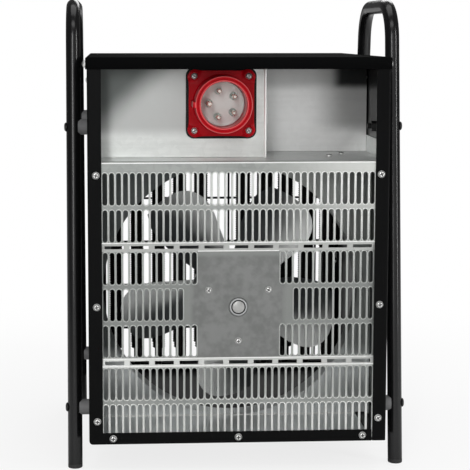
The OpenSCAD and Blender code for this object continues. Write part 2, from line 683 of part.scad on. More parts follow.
// Outline of one blade: x across the blade, y along the radius from the axis. Its leading edge ends
// in a corner at the tip, and the other side is rounded into the tip.
module blade_outline() intersection() {
  k = fan_d / 258;
  round_r = 30 * k;
  side_x = 32 * k;
  tip = fan_d / 2;
  sides = [[-20, 24], [20, 24], [25, 50], [28, 67], [32, 87]];
  leading = [[-45, 129], [-46, 122], [-54, 103], [-53, 90], [-45, 66]];
  union() {
    polygon([for (p = sides) k * p, [side_x, tip - round_r], [side_x - round_r, tip - round_r],
             [side_x - round_r, tip], for (p = leading) k * p]);
    translate([side_x - round_r, tip - round_r]) circle(round_r);
  }
  circle(tip, $fn = 96);
}

// One cambered blade, standing along +Z from the axis
module blade() {
  camber = 160;
  rotate([0, 0, -blade_pitch]) intersection() {
    translate([0, camber, 0]) difference() {
      cylinder(r = camber + blade_t / 2, h = fan_d / 2, $fn = 96);
      translate([0, 0, -1]) cylinder(r = camber - blade_t / 2, h = fan_d / 2 + 2, $fn = 96);
    }
    translate([0, 20, 0]) rotate([90, 0, 0]) linear_extrude(40) blade_outline();
  }
}

module fan_wheel() color([0.8, 0.81, 0.82]) placed() translate([0, hub_y, axis_z]) difference() {
  union() {
    rod_y(86, 0, 0, -blade_t / 2, blade_t / 2);
    for (k = [0:blades - 1]) rotate([0, k * 360 / blades + blade_turn, 0]) blade();
  }
  rod_y(17, 0, 0, -30, 30);
}

module fan_hub() color([0.7, 0.71, 0.72]) placed() difference() {
  union() {
    rod_y(16.8, 0, axis_z, hub_y - 14, hub_y + 6);
    rod_y(46, 0, axis_z, hub_y - blade_t / 2 - 3, hub_y - blade_t / 2);
  }
  rod_y(shaft_d, 0, axis_z, hub_y - 20, hub_y + 20);
}

module fan_nut() color([0.75, 0.75, 0.77]) placed() {
  translate([0, hub_y + 6, axis_z]) to_front() hex_nut(13, 6, shaft_d);
}

// Finned rod heater bent to a hairpin, its two legs one behind the other
module hairpin() {
  fins_z = [bend_z + 8, deck_z - 22];
  translate([0, 0, bend_z]) rotate([90, 0, 90]) rotate([0, 0, 180]) rotate_extrude(angle = 180)
    translate([rod_legs / 2, 0]) circle(d = rod_core);
  for (k = [-1, 1]) translate([0, k * rod_legs / 2, 0]) {
    translate([0, 0, bend_z - eps]) cylinder(d = rod_core, h = deck_z + 8 - bend_z);
    translate([0, 0, fins_z[0]]) cylinder(d = rod_d, h = fins_z[1] - fins_z[0]);
    translate([0, 0, deck_z - deck_t - 5]) cylinder(d = rod_core + 5, h = 5 - seat);
    translate([0, 0, deck_z]) cylinder(d = 4, h = rod_top_z - deck_z);
  }
}

module heater_rods() color([0.05, 0.05, 0.05]) placed() at_rods() hairpin();

// Strip that lies in the lower bends and is turned up against the side walls
module rod_strap() color([0.7, 0.71, 0.72]) placed() {
  half = 3;
  edge = inner_x - seat;
  inner_r = rod_legs / 2 - rod_core / 2;
  z0 = bend_z - sqrt(inner_r * inner_r - half * half) + slide_fit;
  box([-edge, edge], [rod_y - half, rod_y + half], [z0, z0 + deck_t]);
  for (s = [-1, 1]) box([min(s * edge, s * (edge - deck_t)), max(s * edge, s * (edge - deck_t))],
                        [rod_y - half, rod_y + half], [z0, z0 + 14]);
}

module rod_nuts() color([0.75, 0.7, 0.5]) placed() at_rods() for (k = [-1, 1])
  translate([0, k * rod_legs / 2, deck_z + 12]) hex_nut(7, 3.2, 4.1);

module front_guard() color([0.05, 0.05, 0.05]) placed() {
  for (s = [-1, 1]) translate([s * guard_x, guard_y, guard_low]) cylinder(d = guard_rim, h = guard_high - guard_low);
  for (z = [guard_low, guard_high]) rod_x(guard_rim, guard_y, z, -guard_x, guard_x);
  for (k = [-3:2]) if (abs(wire_x + k * wire_pitch) < guard_x - 6)
    translate([wire_x + k * wire_pitch, guard_y - guard_rim / 2, guard_low])
      cylinder(d = wire_d, h = guard_high - guard_low);
  for (z = [wire_z:wire_pitch:guard_high - 6]) rod_x(wire_d, guard_y - 1, z, -guard_x, guard_x);
}

// Clips behind the front flange, hooked round the guard's rim and held by the front screws
module guard_clips() color([0.6, 0.61, 0.62]) placed() difference() {
  web = guard_x + guard_rim / 2 + seat;
  y0 = guard_y - guard_rim / 2 - seat - sheet;
  for (s = [-1, 1], z = [front_rows[0], front_rows[1]]) mirror([s < 0 ? 1 : 0, 0, 0]) {
    box([web, wall_x - 3], [front_y - seat - sheet, front_y - seat], [z - 5, z + 8]);
    box([web, web + sheet], [y0, front_y - seat], [z - 5, z + 8]);
    box([guard_x - 3, web + sheet], [y0, y0 + sheet], [z - 5, z + 8]);
  }
  at_front() to_rear() small_hole(8 * sheet);
}

module front_fascia() color([0.06, 0.06, 0.065]) placed() difference() {
  edge = inner_x - seat;
  union() {
    box([-edge, edge], [fascia_y, front_y], [fascia_foot - sheet, top_z - seat]);
    box([-edge, edge], [fascia_y - 12, fascia_y + eps], [fascia_foot - sheet, fascia_foot]);
  }
  at_front() to_rear() small_hole(8 * sheet);
  for (s = [-1, 1]) rod_y(control_shaft_d + 3, s * knob_x, knob_z, fascia_y - 1, body_d);
  rod_y(2 * button_d + 1, 0, knob_z, fascia_y - 1, body_d);
}

// Five-way block: a wire hole through each way and its clamping screw above
module terminal_block() color([0.85, 0.84, 0.8]) placed() difference() {
  way = 12;
  ways = 5;
  end = 1;
  deep = 26;
  left = -60;
  back = recess_d + 18;
  box([left, left + ways * way + 2 * end], [back, back + deep], [deck_z, deck_z + 22]);
  for (k = [0:ways - 1]) translate([left + end + (k + 0.5) * way, back + deep / 2, deck_z]) {
    translate([0, 0, 12]) cylinder(d = 6, h = 20);
    rod_y(5, 0, 8, -deep, deep);
  }
}

// Contactor: wide base with two rows of terminals and a narrower upper part
module contactor() color([0.14, 0.14, 0.15]) placed() {
  wide = 45;
  deep = 48;
  base_h = 46;
  top_h = 18;
  inset = 6;
  ledge = 8;
  translate([60, recess_d + 18, deck_z]) difference() {
    union() {
      cube([wide, deep, base_h]);
      translate([inset, ledge, base_h - eps]) cube([wide - 2 * inset, deep - 2 * ledge, top_h]);
    }
    for (k = [0:2], y = [ledge / 2, deep - ledge / 2])
      translate([ledge + 14.5 * k, y, base_h - 10]) cylinder(d = 5, h = 20);
  }
}

// Rotary control behind the fascia: bushed body with a bore for its shaft
module control_body(x, w) difference() {
  union() {
    box([x - w / 2, x + w / 2], [fascia_y - control_back, fascia_y - seat], [knob_z - w / 2, knob_z + w / 2]);
    rod_y(control_shaft_d + 2.6, x, knob_z, fascia_y - 1, front_y + 0.1);
  }
  rod_y(control_shaft_d + 2 * run_fit, x, knob_z, fascia_y - control_back + 8, body_d);
}

module control_shaft(x) rod_y(control_shaft_d, x, knob_z, fascia_y - control_back + 8.1, front_y + knob_gap + 10);

// Skirted knob with a raised grip bar
module control_knob(x) translate([x, front_y + knob_gap, knob_z]) difference() {
  union() {
    rod_y(knob_d, 0, 0, 0, 4);
    rod_y(knob_d - 6, 0, 0, 4 - eps, 9);
    intersection() {
      rod_y(knob_d - 6, 0, 0, 0, knob_h);
      box([-5, 5], [0, knob_h], [-knob_d / 2, knob_d / 2]);
    }
  }
  rod_y(control_shaft_d, 0, 0, -1, 10);
  box([-0.9, 0.9], [knob_h - 1, knob_h + 1], [knob_d / 2 - 12, knob_d / 2]);
}

module selector_body() color([0.12, 0.12, 0.12]) placed() control_body(knob_x, selector_w);
module selector_shaft() color([0.7, 0.7, 0.7]) placed() control_shaft(knob_x);
module selector_knob() color([0.03, 0.03, 0.03]) placed() control_knob(knob_x);
module thermostat_body() color([0.6, 0.6, 0.6]) placed() control_body(-knob_x, thermostat_w);
module thermostat_shaft() color([0.7, 0.7, 0.7]) placed() control_shaft(-knob_x);
module thermostat_knob() color([0.03, 0.03, 0.03]) placed() control_knob(-knob_x);

module cutout_body() color([0.1, 0.1, 0.1]) placed() difference() {
  union() {
    rod_y(cutout_d, 0, knob_z, fascia_y - cutout_l, fascia_y - seat);
    rod_y(2 * button_d + 0.6, 0, knob_z, fascia_y - 1, front_y + nose_t);
  }
  rod_y(button_d + 0.6, 0, knob_z, fascia_y - 3, body_d + 5);
  rod_y(button_d + 3, 0, knob_z, fascia_y - 3 - spring_room - button_stop, fascia_y - 2);
}

// Button with the collar that the spring pushes against its stop
module reset_button() color([0.7, 0.08, 0.08]) placed() {
  stop_y = fascia_y - 2 - slide_fit;
  rod_y(button_d, 0, knob_z, stop_y - button_stop - 2, front_y + nose_t + reset_travel + 0.4);
  rod_y(button_d + 2.4, 0, knob_z, stop_y - button_stop, stop_y);
}

// Small coil spring behind the collar, drawn as its sleeve
module reset_spring() color([0.7, 0.7, 0.72]) placed() difference() {
  back = fascia_y - 3 - spring_room - button_stop;
  front = fascia_y - 2 - slide_fit - button_stop;
  rod_y(button_d + 2.2, 0, knob_z, back + seat, front - seat);
  rod_y(button_d + 0.6, 0, knob_z, back - 1, front + 1);
}

casing_wrap();
side_panel();
roof();
roof_screws();
rim_screws();
side_screws();
intake_grille();
compartment_floor();
floor_screws();
recess_back_panel();
inlet_bracket();
inlet_gasket();
inlet_housing();
inlet_insert();
inlet_pins();
inlet_screws();
hoop_left();
hoop_right();
foot_caps();
frame_spacers();
frame_bolts();
frame_nuts();
fan_panel();
motor_rear_cover();
motor_shell();
motor_front_cover();
motor_screws();
stator_core();
stator_winding();
rotor_core();
motor_shaft();
motor_bearings();
fan_wheel();
fan_hub();
fan_nut();
heater_rods();
rod_strap();
rod_nuts();
front_guard();
guard_clips();
front_fascia();
front_screws();
terminal_block();
contactor();
selector_body();
selector_shaft();
selector_knob();
thermostat_body();
thermostat_shaft();
thermostat_knob();
cutout_body();
reset_button();
reset_spring();
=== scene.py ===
import json
import math
import random

import bpy
import bmesh
from mathutils import Matrix, Vector


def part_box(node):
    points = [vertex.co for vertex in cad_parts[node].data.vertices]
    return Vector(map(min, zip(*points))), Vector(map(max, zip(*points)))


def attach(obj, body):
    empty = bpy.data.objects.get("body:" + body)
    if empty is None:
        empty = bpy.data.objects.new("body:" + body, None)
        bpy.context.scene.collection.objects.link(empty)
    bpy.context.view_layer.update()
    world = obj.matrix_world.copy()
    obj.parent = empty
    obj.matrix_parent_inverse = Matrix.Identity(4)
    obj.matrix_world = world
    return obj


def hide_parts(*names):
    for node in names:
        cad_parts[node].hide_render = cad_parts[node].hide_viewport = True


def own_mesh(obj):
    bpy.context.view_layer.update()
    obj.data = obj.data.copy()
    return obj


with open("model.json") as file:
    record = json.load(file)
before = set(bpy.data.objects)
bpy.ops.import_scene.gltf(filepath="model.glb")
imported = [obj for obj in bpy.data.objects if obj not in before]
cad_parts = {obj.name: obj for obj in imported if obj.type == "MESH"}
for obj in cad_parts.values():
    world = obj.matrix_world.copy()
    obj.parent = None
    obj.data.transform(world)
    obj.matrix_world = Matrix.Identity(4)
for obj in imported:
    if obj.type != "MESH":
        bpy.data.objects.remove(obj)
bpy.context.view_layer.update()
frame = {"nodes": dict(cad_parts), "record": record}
nodes = frame["nodes"]
rearY = -0.1764  # rear face of the casing
fanZ = 0.182  # height of the fan's axis
deckZ = 0.3405  # compartment floor, level with the top of the grille
controlZ = 0.3965  # height of the knobs and the reset button
plateZ = 0.1815  # middle of the grille's blank plate
foldZ = (0.12175, 0.24825)  # the grille's two folded bands
random.seed(11)
print("frame loaded:", len(nodes), "nodes")


# shader helpers: arithmetic on sockets adds Math nodes
class Wire:
    def __init__(self, finish, socket):
        self.finish = finish
        self.socket = socket

    def calc(self, operation, *values):
        return self.finish.add("ShaderNodeMath", {"operation": operation}, dict(enumerate(values)))

    def __add__(self, other):
        return self.calc("ADD", self, other)

    def __radd__(self, other):
        return self.calc("ADD", other, self)

    def __sub__(self, other):
        return self.calc("SUBTRACT", self, other)

    def __rsub__(self, other):
        return self.calc("SUBTRACT", other, self)

    def __mul__(self, other):
        return self.calc("MULTIPLY", self, other)

    def __rmul__(self, other):
        return self.calc("MULTIPLY", other, self)

    def size(self):
        return self.calc("ABSOLUTE", self)


class Finish:
    def __init__(self, name):
        self.material = bpy.data.materials.new(name)
        self.material.use_nodes = True
        self.tree = self.material.node_tree
        self.shader = self.tree.nodes["Principled BSDF"]
        self.place = self.add("ShaderNodeTexCoord", out="Object")

    # one method makes every node: settings first, then the values or links of its sockets
    def add(self, kind, settings=None, values=None, out=0):
        node = self.tree.nodes.new(kind)
        for key, value in (settings or {}).items():
            if key == "stops":
                ramp = node.color_ramp
                ramp.elements.remove(ramp.elements[1])
                for i, (spot, level) in enumerate(value):
                    stop = ramp.elements[0] if i == 0 else ramp.elements.new(spot)
                    stop.position = spot
                    stop.color = (*level, 1) if isinstance(level, tuple) else (level, level, level, 1)
            else:
                setattr(node, key, value)
        for key, value in (values or {}).items():
            if isinstance(value, Wire):
                self.tree.links.new(value.socket, node.inputs[key])
            else:
                node.inputs[key].default_value = value
        return Wire(self, node.outputs[out])

    def noise(self, scale, detail=2.0, stretch=None):
        place = self.place
        if stretch:
            place = self.add("ShaderNodeMapping", None, {"Vector": place, "Scale": stretch})
        return self.add("ShaderNodeTexNoise", None, {"Vector": place, "Scale": scale, "Detail": detail})

    def cells(self, scale, stretch=None):
        place = self.place
        if stretch:
            place = self.add("ShaderNodeMapping", None, {"Vector": place, "Scale": stretch})
        spots = self.add("ShaderNodeTexVoronoi", None, {"Vector": place, "Scale": scale}, "Color")
        return self.add("ShaderNodeSeparateColor", None, {"Color": spots})

    def axis(self, letter):
        return self.add("ShaderNodeSeparateXYZ", None, {"Vector": self.place}, letter)

    def step(self, value, low, high, a=0.0, b=1.0):
        return self.add("ShaderNodeMapRange", {"interpolation_type": "SMOOTHSTEP"},
                        {"Value": value, "From Min": low, "From Max": high, "To Min": a, "To Max": b})

    def reach(self, x, z):
        return x.calc("SQRT", x * x + z * z)

    def mixed(self, factor, a, b):
        return self.add("ShaderNodeMix", {"data_type": "RGBA"}, {0: factor, 6: a, 7: b}, 2)

    def bump(self, height, strength, distance, rounded=None):
        values = {"Height": height, "Strength": strength, "Distance": distance}
        if rounded:
            values["Normal"] = self.add("ShaderNodeBevel", {"samples": 4}, {"Radius": rounded})
        return self.add("ShaderNodeBump", None, values)

    def done(self, values):
        for key, value in values.items():
            if isinstance(value, Wire):
                self.tree.links.new(value.socket, self.shader.inputs[key])
            else:
                self.shader.inputs[key].default_value = value
        return self.material


def rgb(r, g, b):
    return (r, g, b, 1.0)


# finishes
inletSpot = (-0.0156, 0.4007)  # centre of the inlet, x and z


def powderCoat(name, tone, gloss, shine, peel=0.12, rounded=None, sides=0.0, coat=0.22):
    f = Finish(name)
    cloud = f.noise(14, 4)
    peelHeight = f.noise(900, 2)
    scuffs = f.step(f.noise(55, 6, (1, 1, 0.25)), 0.66, 0.8)
    low, high = tone
    colour = f.mixed(cloud * 0.6 + scuffs * 0.4, rgb(*low), rgb(*high))
    if sides:  # away from the rear rim the coat is a little paler and glossier
        away = f.step(f.axis("Y"), rearY + 0.0006, rearY + 0.0060)
        pale = f.mixed(cloud * 0.6 + scuffs * 0.4, rgb(*[sides] * 3), rgb(*[sides * 1.6] * 3))
        colour = f.mixed(away, colour, pale)
        f.done({"Coat Weight": away * coat, "Coat Roughness": 0.22})
    return f.done({
        "Base Color": colour,
        "Roughness": gloss + 0.10 * cloud + 0.12 * scuffs,
        "Specular IOR Level": shine,
        "Normal": f.bump(peelHeight, peel, 0.0002, rounded)})


def galvanised(name, light, dark, tone=None, rounded=0.0005, metal=0.72):
    f = Finish(name)
    spangle = f.cells(170)
    streaks = f.noise(40, 3, (0.4, 1, 6))
    cloud = f.noise(7, 3)
    speck = f.noise(1100, 2)
    shade = 0.12 * spangle + 0.30 * streaks + 0.58 * cloud
    colour = f.mixed(f.step(shade, 0.30, 0.70), rgb(*dark), rgb(*light))
    rough = 0.36 + 0.05 * spangle + 0.08 * streaks
    if tone:
        colour, rough = tone(f, colour, rough, speck)
    return f.done({
        "Base Color": colour, "Metallic": metal, "Roughness": rough,
        "Normal": f.bump(0.6 * speck + 0.4 * spangle, 0.08, 0.0002, rounded)})


# the intake sheet: painted shade darkens it round its middle, a painted highlight makes it brightest at its
# upper right corner, and painted highlights lighten its two folded bands; the blank plate has its own mottle
def grilleTone(f, colour, rough, speck):
    height = (f.axis("Z") - plateZ).size()
    cloud = f.noise(16, 3)
    middle = f.step(height + 0.02 * cloud, 0.075, 0.145, 1.0, 0.0)
    corner = f.step(f.axis("X") + 0.02 * cloud, 0.01, 0.16) * f.step(f.axis("Z"), 0.20, 0.335)
    # painted highlight towards the upper right corner
    colour = f.mixed(corner * 0.9, colour, rgb(0.72, 0.73, 0.70))
    paintedShadeColour = f.mixed(speck, rgb(0.20, 0.21, 0.20), rgb(0.28, 0.29, 0.28))
    # painted shade round the middle rows
    colour = f.mixed(middle * 0.85, colour, paintedShadeColour)
    plate = f.step(f.axis("X").size() + 0.004 * cloud, 0.048, 0.056, 1.0, 0.0)
    plate = plate * f.step(height, 0.054, 0.060, 1.0, 0.0)
    mottle = f.step(0.55 * f.noise(130, 5) + 0.45 * f.noise(24, 3), 0.36, 0.64)
    mottled = f.mixed(mottle, rgb(0.185, 0.19, 0.185), rgb(0.245, 0.25, 0.245))
    colour = f.mixed(plate * 0.95, colour, mottled)
    # painted highlight along each folded band
    for fold in foldZ:
        band = f.step((f.axis("Z") - fold).size(), 0.0042, 0.0058, 1.0, 0.0)
        colour = f.mixed(band * 0.8, colour, rgb(0.62, 0.63, 0.61))
    return colour, rough + 0.10 * plate


# painted light on the slot lips: painted shade darkens them round the middle rows, so they shine most in the
# top and bottom rows and at the upper right, a painted highlight
def lipTone(f, colour, rough, speck):
    height = (f.axis("Z") - plateZ).size()
    outer = f.step(height, 0.055, 0.135)
    right = f.step(f.axis("X"), -0.08, 0.10) * f.step(f.axis("Z"), 0.20, 0.30)
    foot = f.step(f.axis("Z"), 0.080, 0.088, 1.0, 0.0)
    low = f.mixed(speck, rgb(0.44, 0.46, 0.44), rgb(0.54, 0.56, 0.54))
    # painted shade where the lips are away from the top, bottom and upper right
    return f.mixed(0.45 * outer + 0.55 * (right + foot), low, colour), rough


# painted shade: sheets inside the casing are greyer on the left; painted light brightens them near their foot
def innerTone(f, colour, rough, speck):
    # painted shade: darker on the left and again past x = 0.13
    side = f.step(f.axis("X") + 0.05 * f.noise(9, 2), -0.05, 0.13)
    side = side * f.step(f.axis("X"), 0.126, 0.136, 1.0, 0.42)
    tone = f.mixed(side, rgb(0.125, 0.140, 0.135), rgb(0.50, 0.52, 0.50))
    # painted light: brightness set by height, brightest near the foot
    stops = ((0.0, 0.85), (0.105, 0.85), (0.115, 1.0), (0.14, 0.85), (0.20, 0.40), (0.24, 0.50),
             (0.285, 1.0), (0.33, 0.85), (0.40, 0.0))
    height = f.axis("Z") * 3.33 + 0.012 * f.noise(30, 2)
    level = f.add("ShaderNodeValToRGB", {"stops": stops}, {"Fac": height})
    return f.mixed(level, tone, rgb(0.90, 0.93, 0.93)), rough + 0.06


# painted shadow: the inlet's plate darkens towards its upper left corner, and is brightest along its foot and
# right of the inlet, where it keeps its own zinc colour
def bracketTone(f, colour, rough, speck):
    x, z = f.axis("X"), f.axis("Z") + 0.004 * f.noise(14, 2)
    # painted shadow from the upper left
    shade = f.step(x * 11.1 + 1.79 + (0.440 - z) * 12.2 + 0.2 * f.noise(12, 3), 0.66, 1.25)
    upper = f.mixed(shade, rgb(0.115, 0.125, 0.12), rgb(0.50, 0.51, 0.50))
    clear = f.step(z, 0.362, 0.378, 1.0, 0.0)
    return f.mixed(clear + (1 - clear) * f.step(x, -0.03, 0.02), upper, colour), rough


# painted shade: the recess wall darkens along its top and to the right; a painted reflection of the black
# casing darkens its upper right corner
def recessTone(f, colour, rough, speck):
    wobble = 0.006 * f.noise(18, 3)
    x, z = f.axis("X") + wobble, f.axis("Z") + wobble
    # painted shade along the top
    colour = f.mixed(f.step(z, 0.412, 0.426) * 0.45, colour, rgb(0.18, 0.185, 0.18))
    # painted shade to the right
    shade = f.step(x, 0.092, 0.140) * f.step(z, 0.362, 0.380)
    colour = f.mixed(shade * 0.55, colour, rgb(0.12, 0.125, 0.12))
    # painted reflection of the black casing
    mirrored = f.step(x, 0.118, 0.134) * f.step(z, 0.413, 0.424)
    return f.mixed(mirrored, colour, rgb(0.006, 0.007, 0.007)), rough - 0.08


# moulded red plastic, with painted highlight lines along the two crests of the shroud's mouth
def redTone(f, colour):
    x, z = f.axis("X") - inletSpot[0], f.axis("Z") - inletSpot[1]
    reach = f.reach(x, z)
    front = f.step(f.axis("Y"), -0.1650, -0.1655)
    for crest in (0.0258, 0.0306):
        # painted highlight line on the crest
        line = f.step((reach - crest).size(), 0.0003, 0.0009, 1.0, 0.0)
        colour = f.mixed(line * front * 0.75, colour, rgb(0.70, 0.16, 0.16))
    return colour


def brightMetal(name, light, dark, rough, scale=500, metal=1.0):
    f = Finish(name)
    wear = f.noise(scale, 3)
    stain = f.noise(70, 3)
    return f.done({
        "Base Color": f.mixed(f.step(stain, 0.3, 0.7), rgb(*dark), rgb(*light)),
        "Metallic": metal, "Roughness": rough + 0.12 * wear,
        "Normal": f.bump(wear, 0.08, 0.0001)})


# painted light: each blade is painted dark along its leading side and light along its trailing side
def brushedBlade(name):
    f = Finish(name)
    lines = f.noise(160, 3, (1, 6, 6))
    cloud = f.noise(22, 3)
    x, z = f.axis("X"), f.axis("Z") - fanZ
    reach = f.reach(x, z)
    turn = x.calc("ARCTAN2", x, z) * (5 / (2 * math.pi)) - 41 / 72 + 0.5
    # painted light and shade round each blade
    sweep = turn.calc("FRACT", turn) + (reach - 0.09) * 3 + 0.16 * cloud - 0.08
    paintedLitSide = f.step(sweep, 0.38, 0.68)
    paintedShadeColour = f.mixed(cloud, rgb(0.05, 0.055, 0.058), rgb(0.15, 0.16, 0.163))
    bright = f.mixed(f.step(cloud, 0.3, 0.7), rgb(0.80, 0.81, 0.80), rgb(0.95, 0.96, 0.95))
    return f.done({
        "Base Color": f.mixed(paintedLitSide, paintedShadeColour, bright), "Metallic": 0.2,
        "Roughness": 0.26 + 0.16 * lines, "Normal": f.bump(lines, 0.06, 0.0001)})


def moulded(name, low, high, rough, shine=0.4, grain=700, bite=0.10, rounded=None, tone=None):
    f = Finish(name)
    cloud = f.noise(30, 4)
    pits = f.noise(grain, 2)
    colour = f.mixed(f.step(cloud, 0.3, 0.7), rgb(*low), rgb(*high))
    return f.done({
        "Base Color": tone(f, colour) if tone else colour,
        "Roughness": rough + 0.10 * pits, "Specular IOR Level": shine,
        "Normal": f.bump(pits, bite, 0.0002, rounded)})


def heatDarkened(name):
    f = Finish(name)
    cloud = f.noise(40, 4)
    blue = f.noise(16, 3)
    tint = f.mixed(f.step(blue, 0.4, 0.7), rgb(0.020, 0.018, 0.017), rgb(0.030, 0.028, 0.032))
    return f.done({
        "Base Color": tint, "Metallic": 0.6, "Roughness": 0.45 + 0.2 * cloud,
        "Normal": f.bump(cloud, 0.15, 0.0003)})


def woundCopper(name):
    f = Finish(name)
    centred = f.add("ShaderNodeMapping", None, {"Vector": f.place, "Location": (0, 0, -fanZ)})
    turns = f.add("ShaderNodeTexWave", {"wave_type": "RINGS", "rings_direction": "Y"},
                  {"Vector": centred, "Scale": 300.0, "Distortion": 1.0}, "Fac")
    return f.done({
        "Base Color": f.mixed(turns, rgb(0.20, 0.07, 0.02), rgb(0.62, 0.28, 0.10)),
        "Metallic": 0.7, "Roughness": 0.30 + 0.2 * turns, "Normal": f.bump(turns, 0.5, 0.0004)})


def stackedSheets(name):
    f = Finish(name)
    sheets = f.add("ShaderNodeTexWave", {"bands_direction": "Y"},
                   {"Vector": f.place, "Scale": 320.0}, "Fac")
    return f.done({
        "Base Color": f.mixed(sheets, rgb(0.12, 0.12, 0.13), rgb(0.35, 0.35, 0.37)),
        "Metallic": 0.8, "Roughness": 0.45 + 0.1 * sheets, "Normal": f.bump(sheets, 0.4, 0.0003)})


black = ((0.0020, 0.0021, 0.0022), (0.0042, 0.0043, 0.0046))
roofTone = ((0.0030, 0.0031, 0.0032), (0.0060, 0.0061, 0.0063))
hoopTone = ((0.0040, 0.0040, 0.0043), (0.0080, 0.0080, 0.0086))
finishes = {
    "casing_black": powderCoat("casingBlack", black, 0.34, 0.07, 0.08, 0.0006, 0.013),
    "roof_black": powderCoat("roofBlack", roofTone, 0.60, 0.0, 0.06, None, 0.010, 0.05),
    "hoop_black": powderCoat("hoopBlack", hoopTone, 0.17, 0.45, 0.004),
    "guard_black": powderCoat("guardBlack", ((0.006, 0.006, 0.006), (0.013, 0.013, 0.013)), 0.40, 0.3),
    "galvanised": galvanised("galvanisedSheet", (0.84, 0.86, 0.85), (0.68, 0.71, 0.69)),
    "screw_steel": brightMetal("zincScrew", (0.95, 0.95, 0.93), (0.84, 0.84, 0.82), 0.24, 500, 0.5),
    "bolt_black": powderCoat("boltBlack", ((0.005, 0.005, 0.005), (0.012, 0.012, 0.012)), 0.32, 0.5),
    "nut_black": powderCoat("nutBlack", ((0.006, 0.006, 0.006), (0.016, 0.016, 0.016)), 0.36, 0.5),
    "shaft_steel": brightMetal("turnedSteel", (0.66, 0.66, 0.68), (0.48, 0.48, 0.50), 0.24, 300),
    "gasket_rubber": moulded("gasketRubber", (0.010, 0.010, 0.010), (0.022, 0.022, 0.022), 0.6, 0.25),
    "inlet_red": moulded("inletRed", (0.42, 0.0006, 0.006), (0.52, 0.0010, 0.009), 0.24, 0.14, 900, 0.06,
                         0.0004, redTone),
    "insert_grey": moulded("insertGrey", (0.80, 0.92, 0.88), (0.88, 0.97, 0.94), 0.45, 0.35),
    "pin_brass": brightMetal("pinBrass", (0.86, 0.84, 0.76), (0.70, 0.68, 0.60), 0.20, 260, 0.7),
    "cap_black": moulded("capRubber", (0.018, 0.018, 0.018), (0.035, 0.035, 0.035), 0.55, 0.3),
    "spacer_grey": moulded("spacerGrey", (0.125, 0.125, 0.127), (0.180, 0.180, 0.183), 0.42, 0.45),
    "motor_grey": brightMetal("castAlloy", (0.55, 0.56, 0.56), (0.40, 0.41, 0.42), 0.42, 420),
    "motor_steel": brightMetal("motorShell", (0.42, 0.43, 0.44), (0.30, 0.31, 0.32), 0.36, 200),
    "lamination": stackedSheets("stackedSheets"),
    "copper_wire": woundCopper("woundCopper"),
    "fan_silver": brushedBlade("fanBlade"),
    "rod_dark": heatDarkened("finnedRod"),
    "terminal_cream": moulded("terminalCream", (0.62, 0.58, 0.47), (0.72, 0.68, 0.56), 0.40, 0.4),
    "case_dark": moulded("caseDark", (0.012, 0.012, 0.013), (0.028, 0.028, 0.030), 0.45, 0.35),
    "thermostat_grey": moulded("thermostatGrey", (0.26, 0.27, 0.27), (0.36, 0.37, 0.37), 0.45, 0.35),
    "knob_black": moulded("knobBlack", (0.008, 0.008, 0.008), (0.016, 0.016, 0.016), 0.36, 0.4),
    "button_red": moulded("buttonRed", (0.45, 0.012, 0.010), (0.55, 0.020, 0.016), 0.30, 0.5),
}
grilleZinc = galvanised("grilleZinc", (0.40, 0.415, 0.40), (0.29, 0.305, 0.29), grilleTone)
# the lips' zinc is painted far lighter than the grille sheet they are pressed from: painted highlight
lipHighlightZinc = galvanised("lipHighlightZinc", (0.88, 0.89, 0.87), (0.76, 0.78, 0.75), lipTone, None)
# nearly white zinc for the bends: painted highlight
bendHighlightZinc = galvanised("bendHighlightZinc", (0.97, 0.97, 0.95), (0.92, 0.93, 0.91), None, None, 0.3)
innerZinc = galvanised("innerZinc", (0.4, 0.4, 0.4), (0.2, 0.2, 0.2), innerTone, 0.0005, 0.3)
bracketZinc = galvanised("bracketZinc", (0.80, 0.82, 0.80), (0.68, 0.70, 0.68), bracketTone)
# recess zinc painted lighter than the other sheets: painted light for a wall in shade
recessZinc = galvanised("recessZinc", (0.96, 0.96, 0.95), (0.88, 0.88, 0.87), recessTone, metal=0.45)
# dark metal for the inside of cross recesses: painted shade
crossPaintedShade = brightMetal("crossPaintedShade", (0.20, 0.20, 0.20), (0.12, 0.12, 0.12), 0.40, 500, 0.6)
capZinc = galvanised("capZinc", (0.50, 0.50, 0.49), (0.40, 0.40, 0.39), rounded=None)
printWhite = moulded("printWhite", (0.70, 0.70, 0.68), (0.80, 0.80, 0.78), 0.5, 0.3)

sheetOf = {"intake_grille": grilleZinc, "fan_panel": innerZinc, "inlet_bracket": bracketZinc,
           "recess_back_panel": recessZinc}
slotOf = {entry["node"]: entry["material_slot"] for entry in frame["record"]["subparts"]}
for name, node in nodes.items():
    node.data.materials.clear()
    node.data.materials.append(sheetOf.get(name, finishes[slotOf[name]]))
print("finishes assigned")


# mesh helpers; these turns send local +Z to the rear, the front, the right and the left
toRear = Matrix.Rotation(math.radians(90), 4, "X")
toFront = Matrix.Rotation(math.radians(-90), 4, "X")
toRight = Matrix.Rotation(math.radians(90), 4, "Y")
toLeft = Matrix.Rotation(math.radians(-90), 4, "Y")


def moved(x, y, z):
    return Matrix.Translation((x, y, z))


def makePiece(name, bm, material, body="housing", replaced=(), crease=0.62):
    bmesh.ops.remove_doubles(bm, verts=bm.verts, dist=1e-6)
    for face in bm.faces:
        face.smooth = True
    for edge in bm.edges:
        edge.smooth = edge.calc_face_angle(0.0) < crease
    mesh = bpy.data.meshes.new(name)
    bm.to_mesh(mesh)
    bm.free()
    mesh.materials.append(material)
    piece = bpy.data.objects.new(name, mesh)
    bpy.context.scene.collection.objects.link(piece)
    if replaced:
        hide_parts(*replaced)
    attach(piece, body)
    return piece


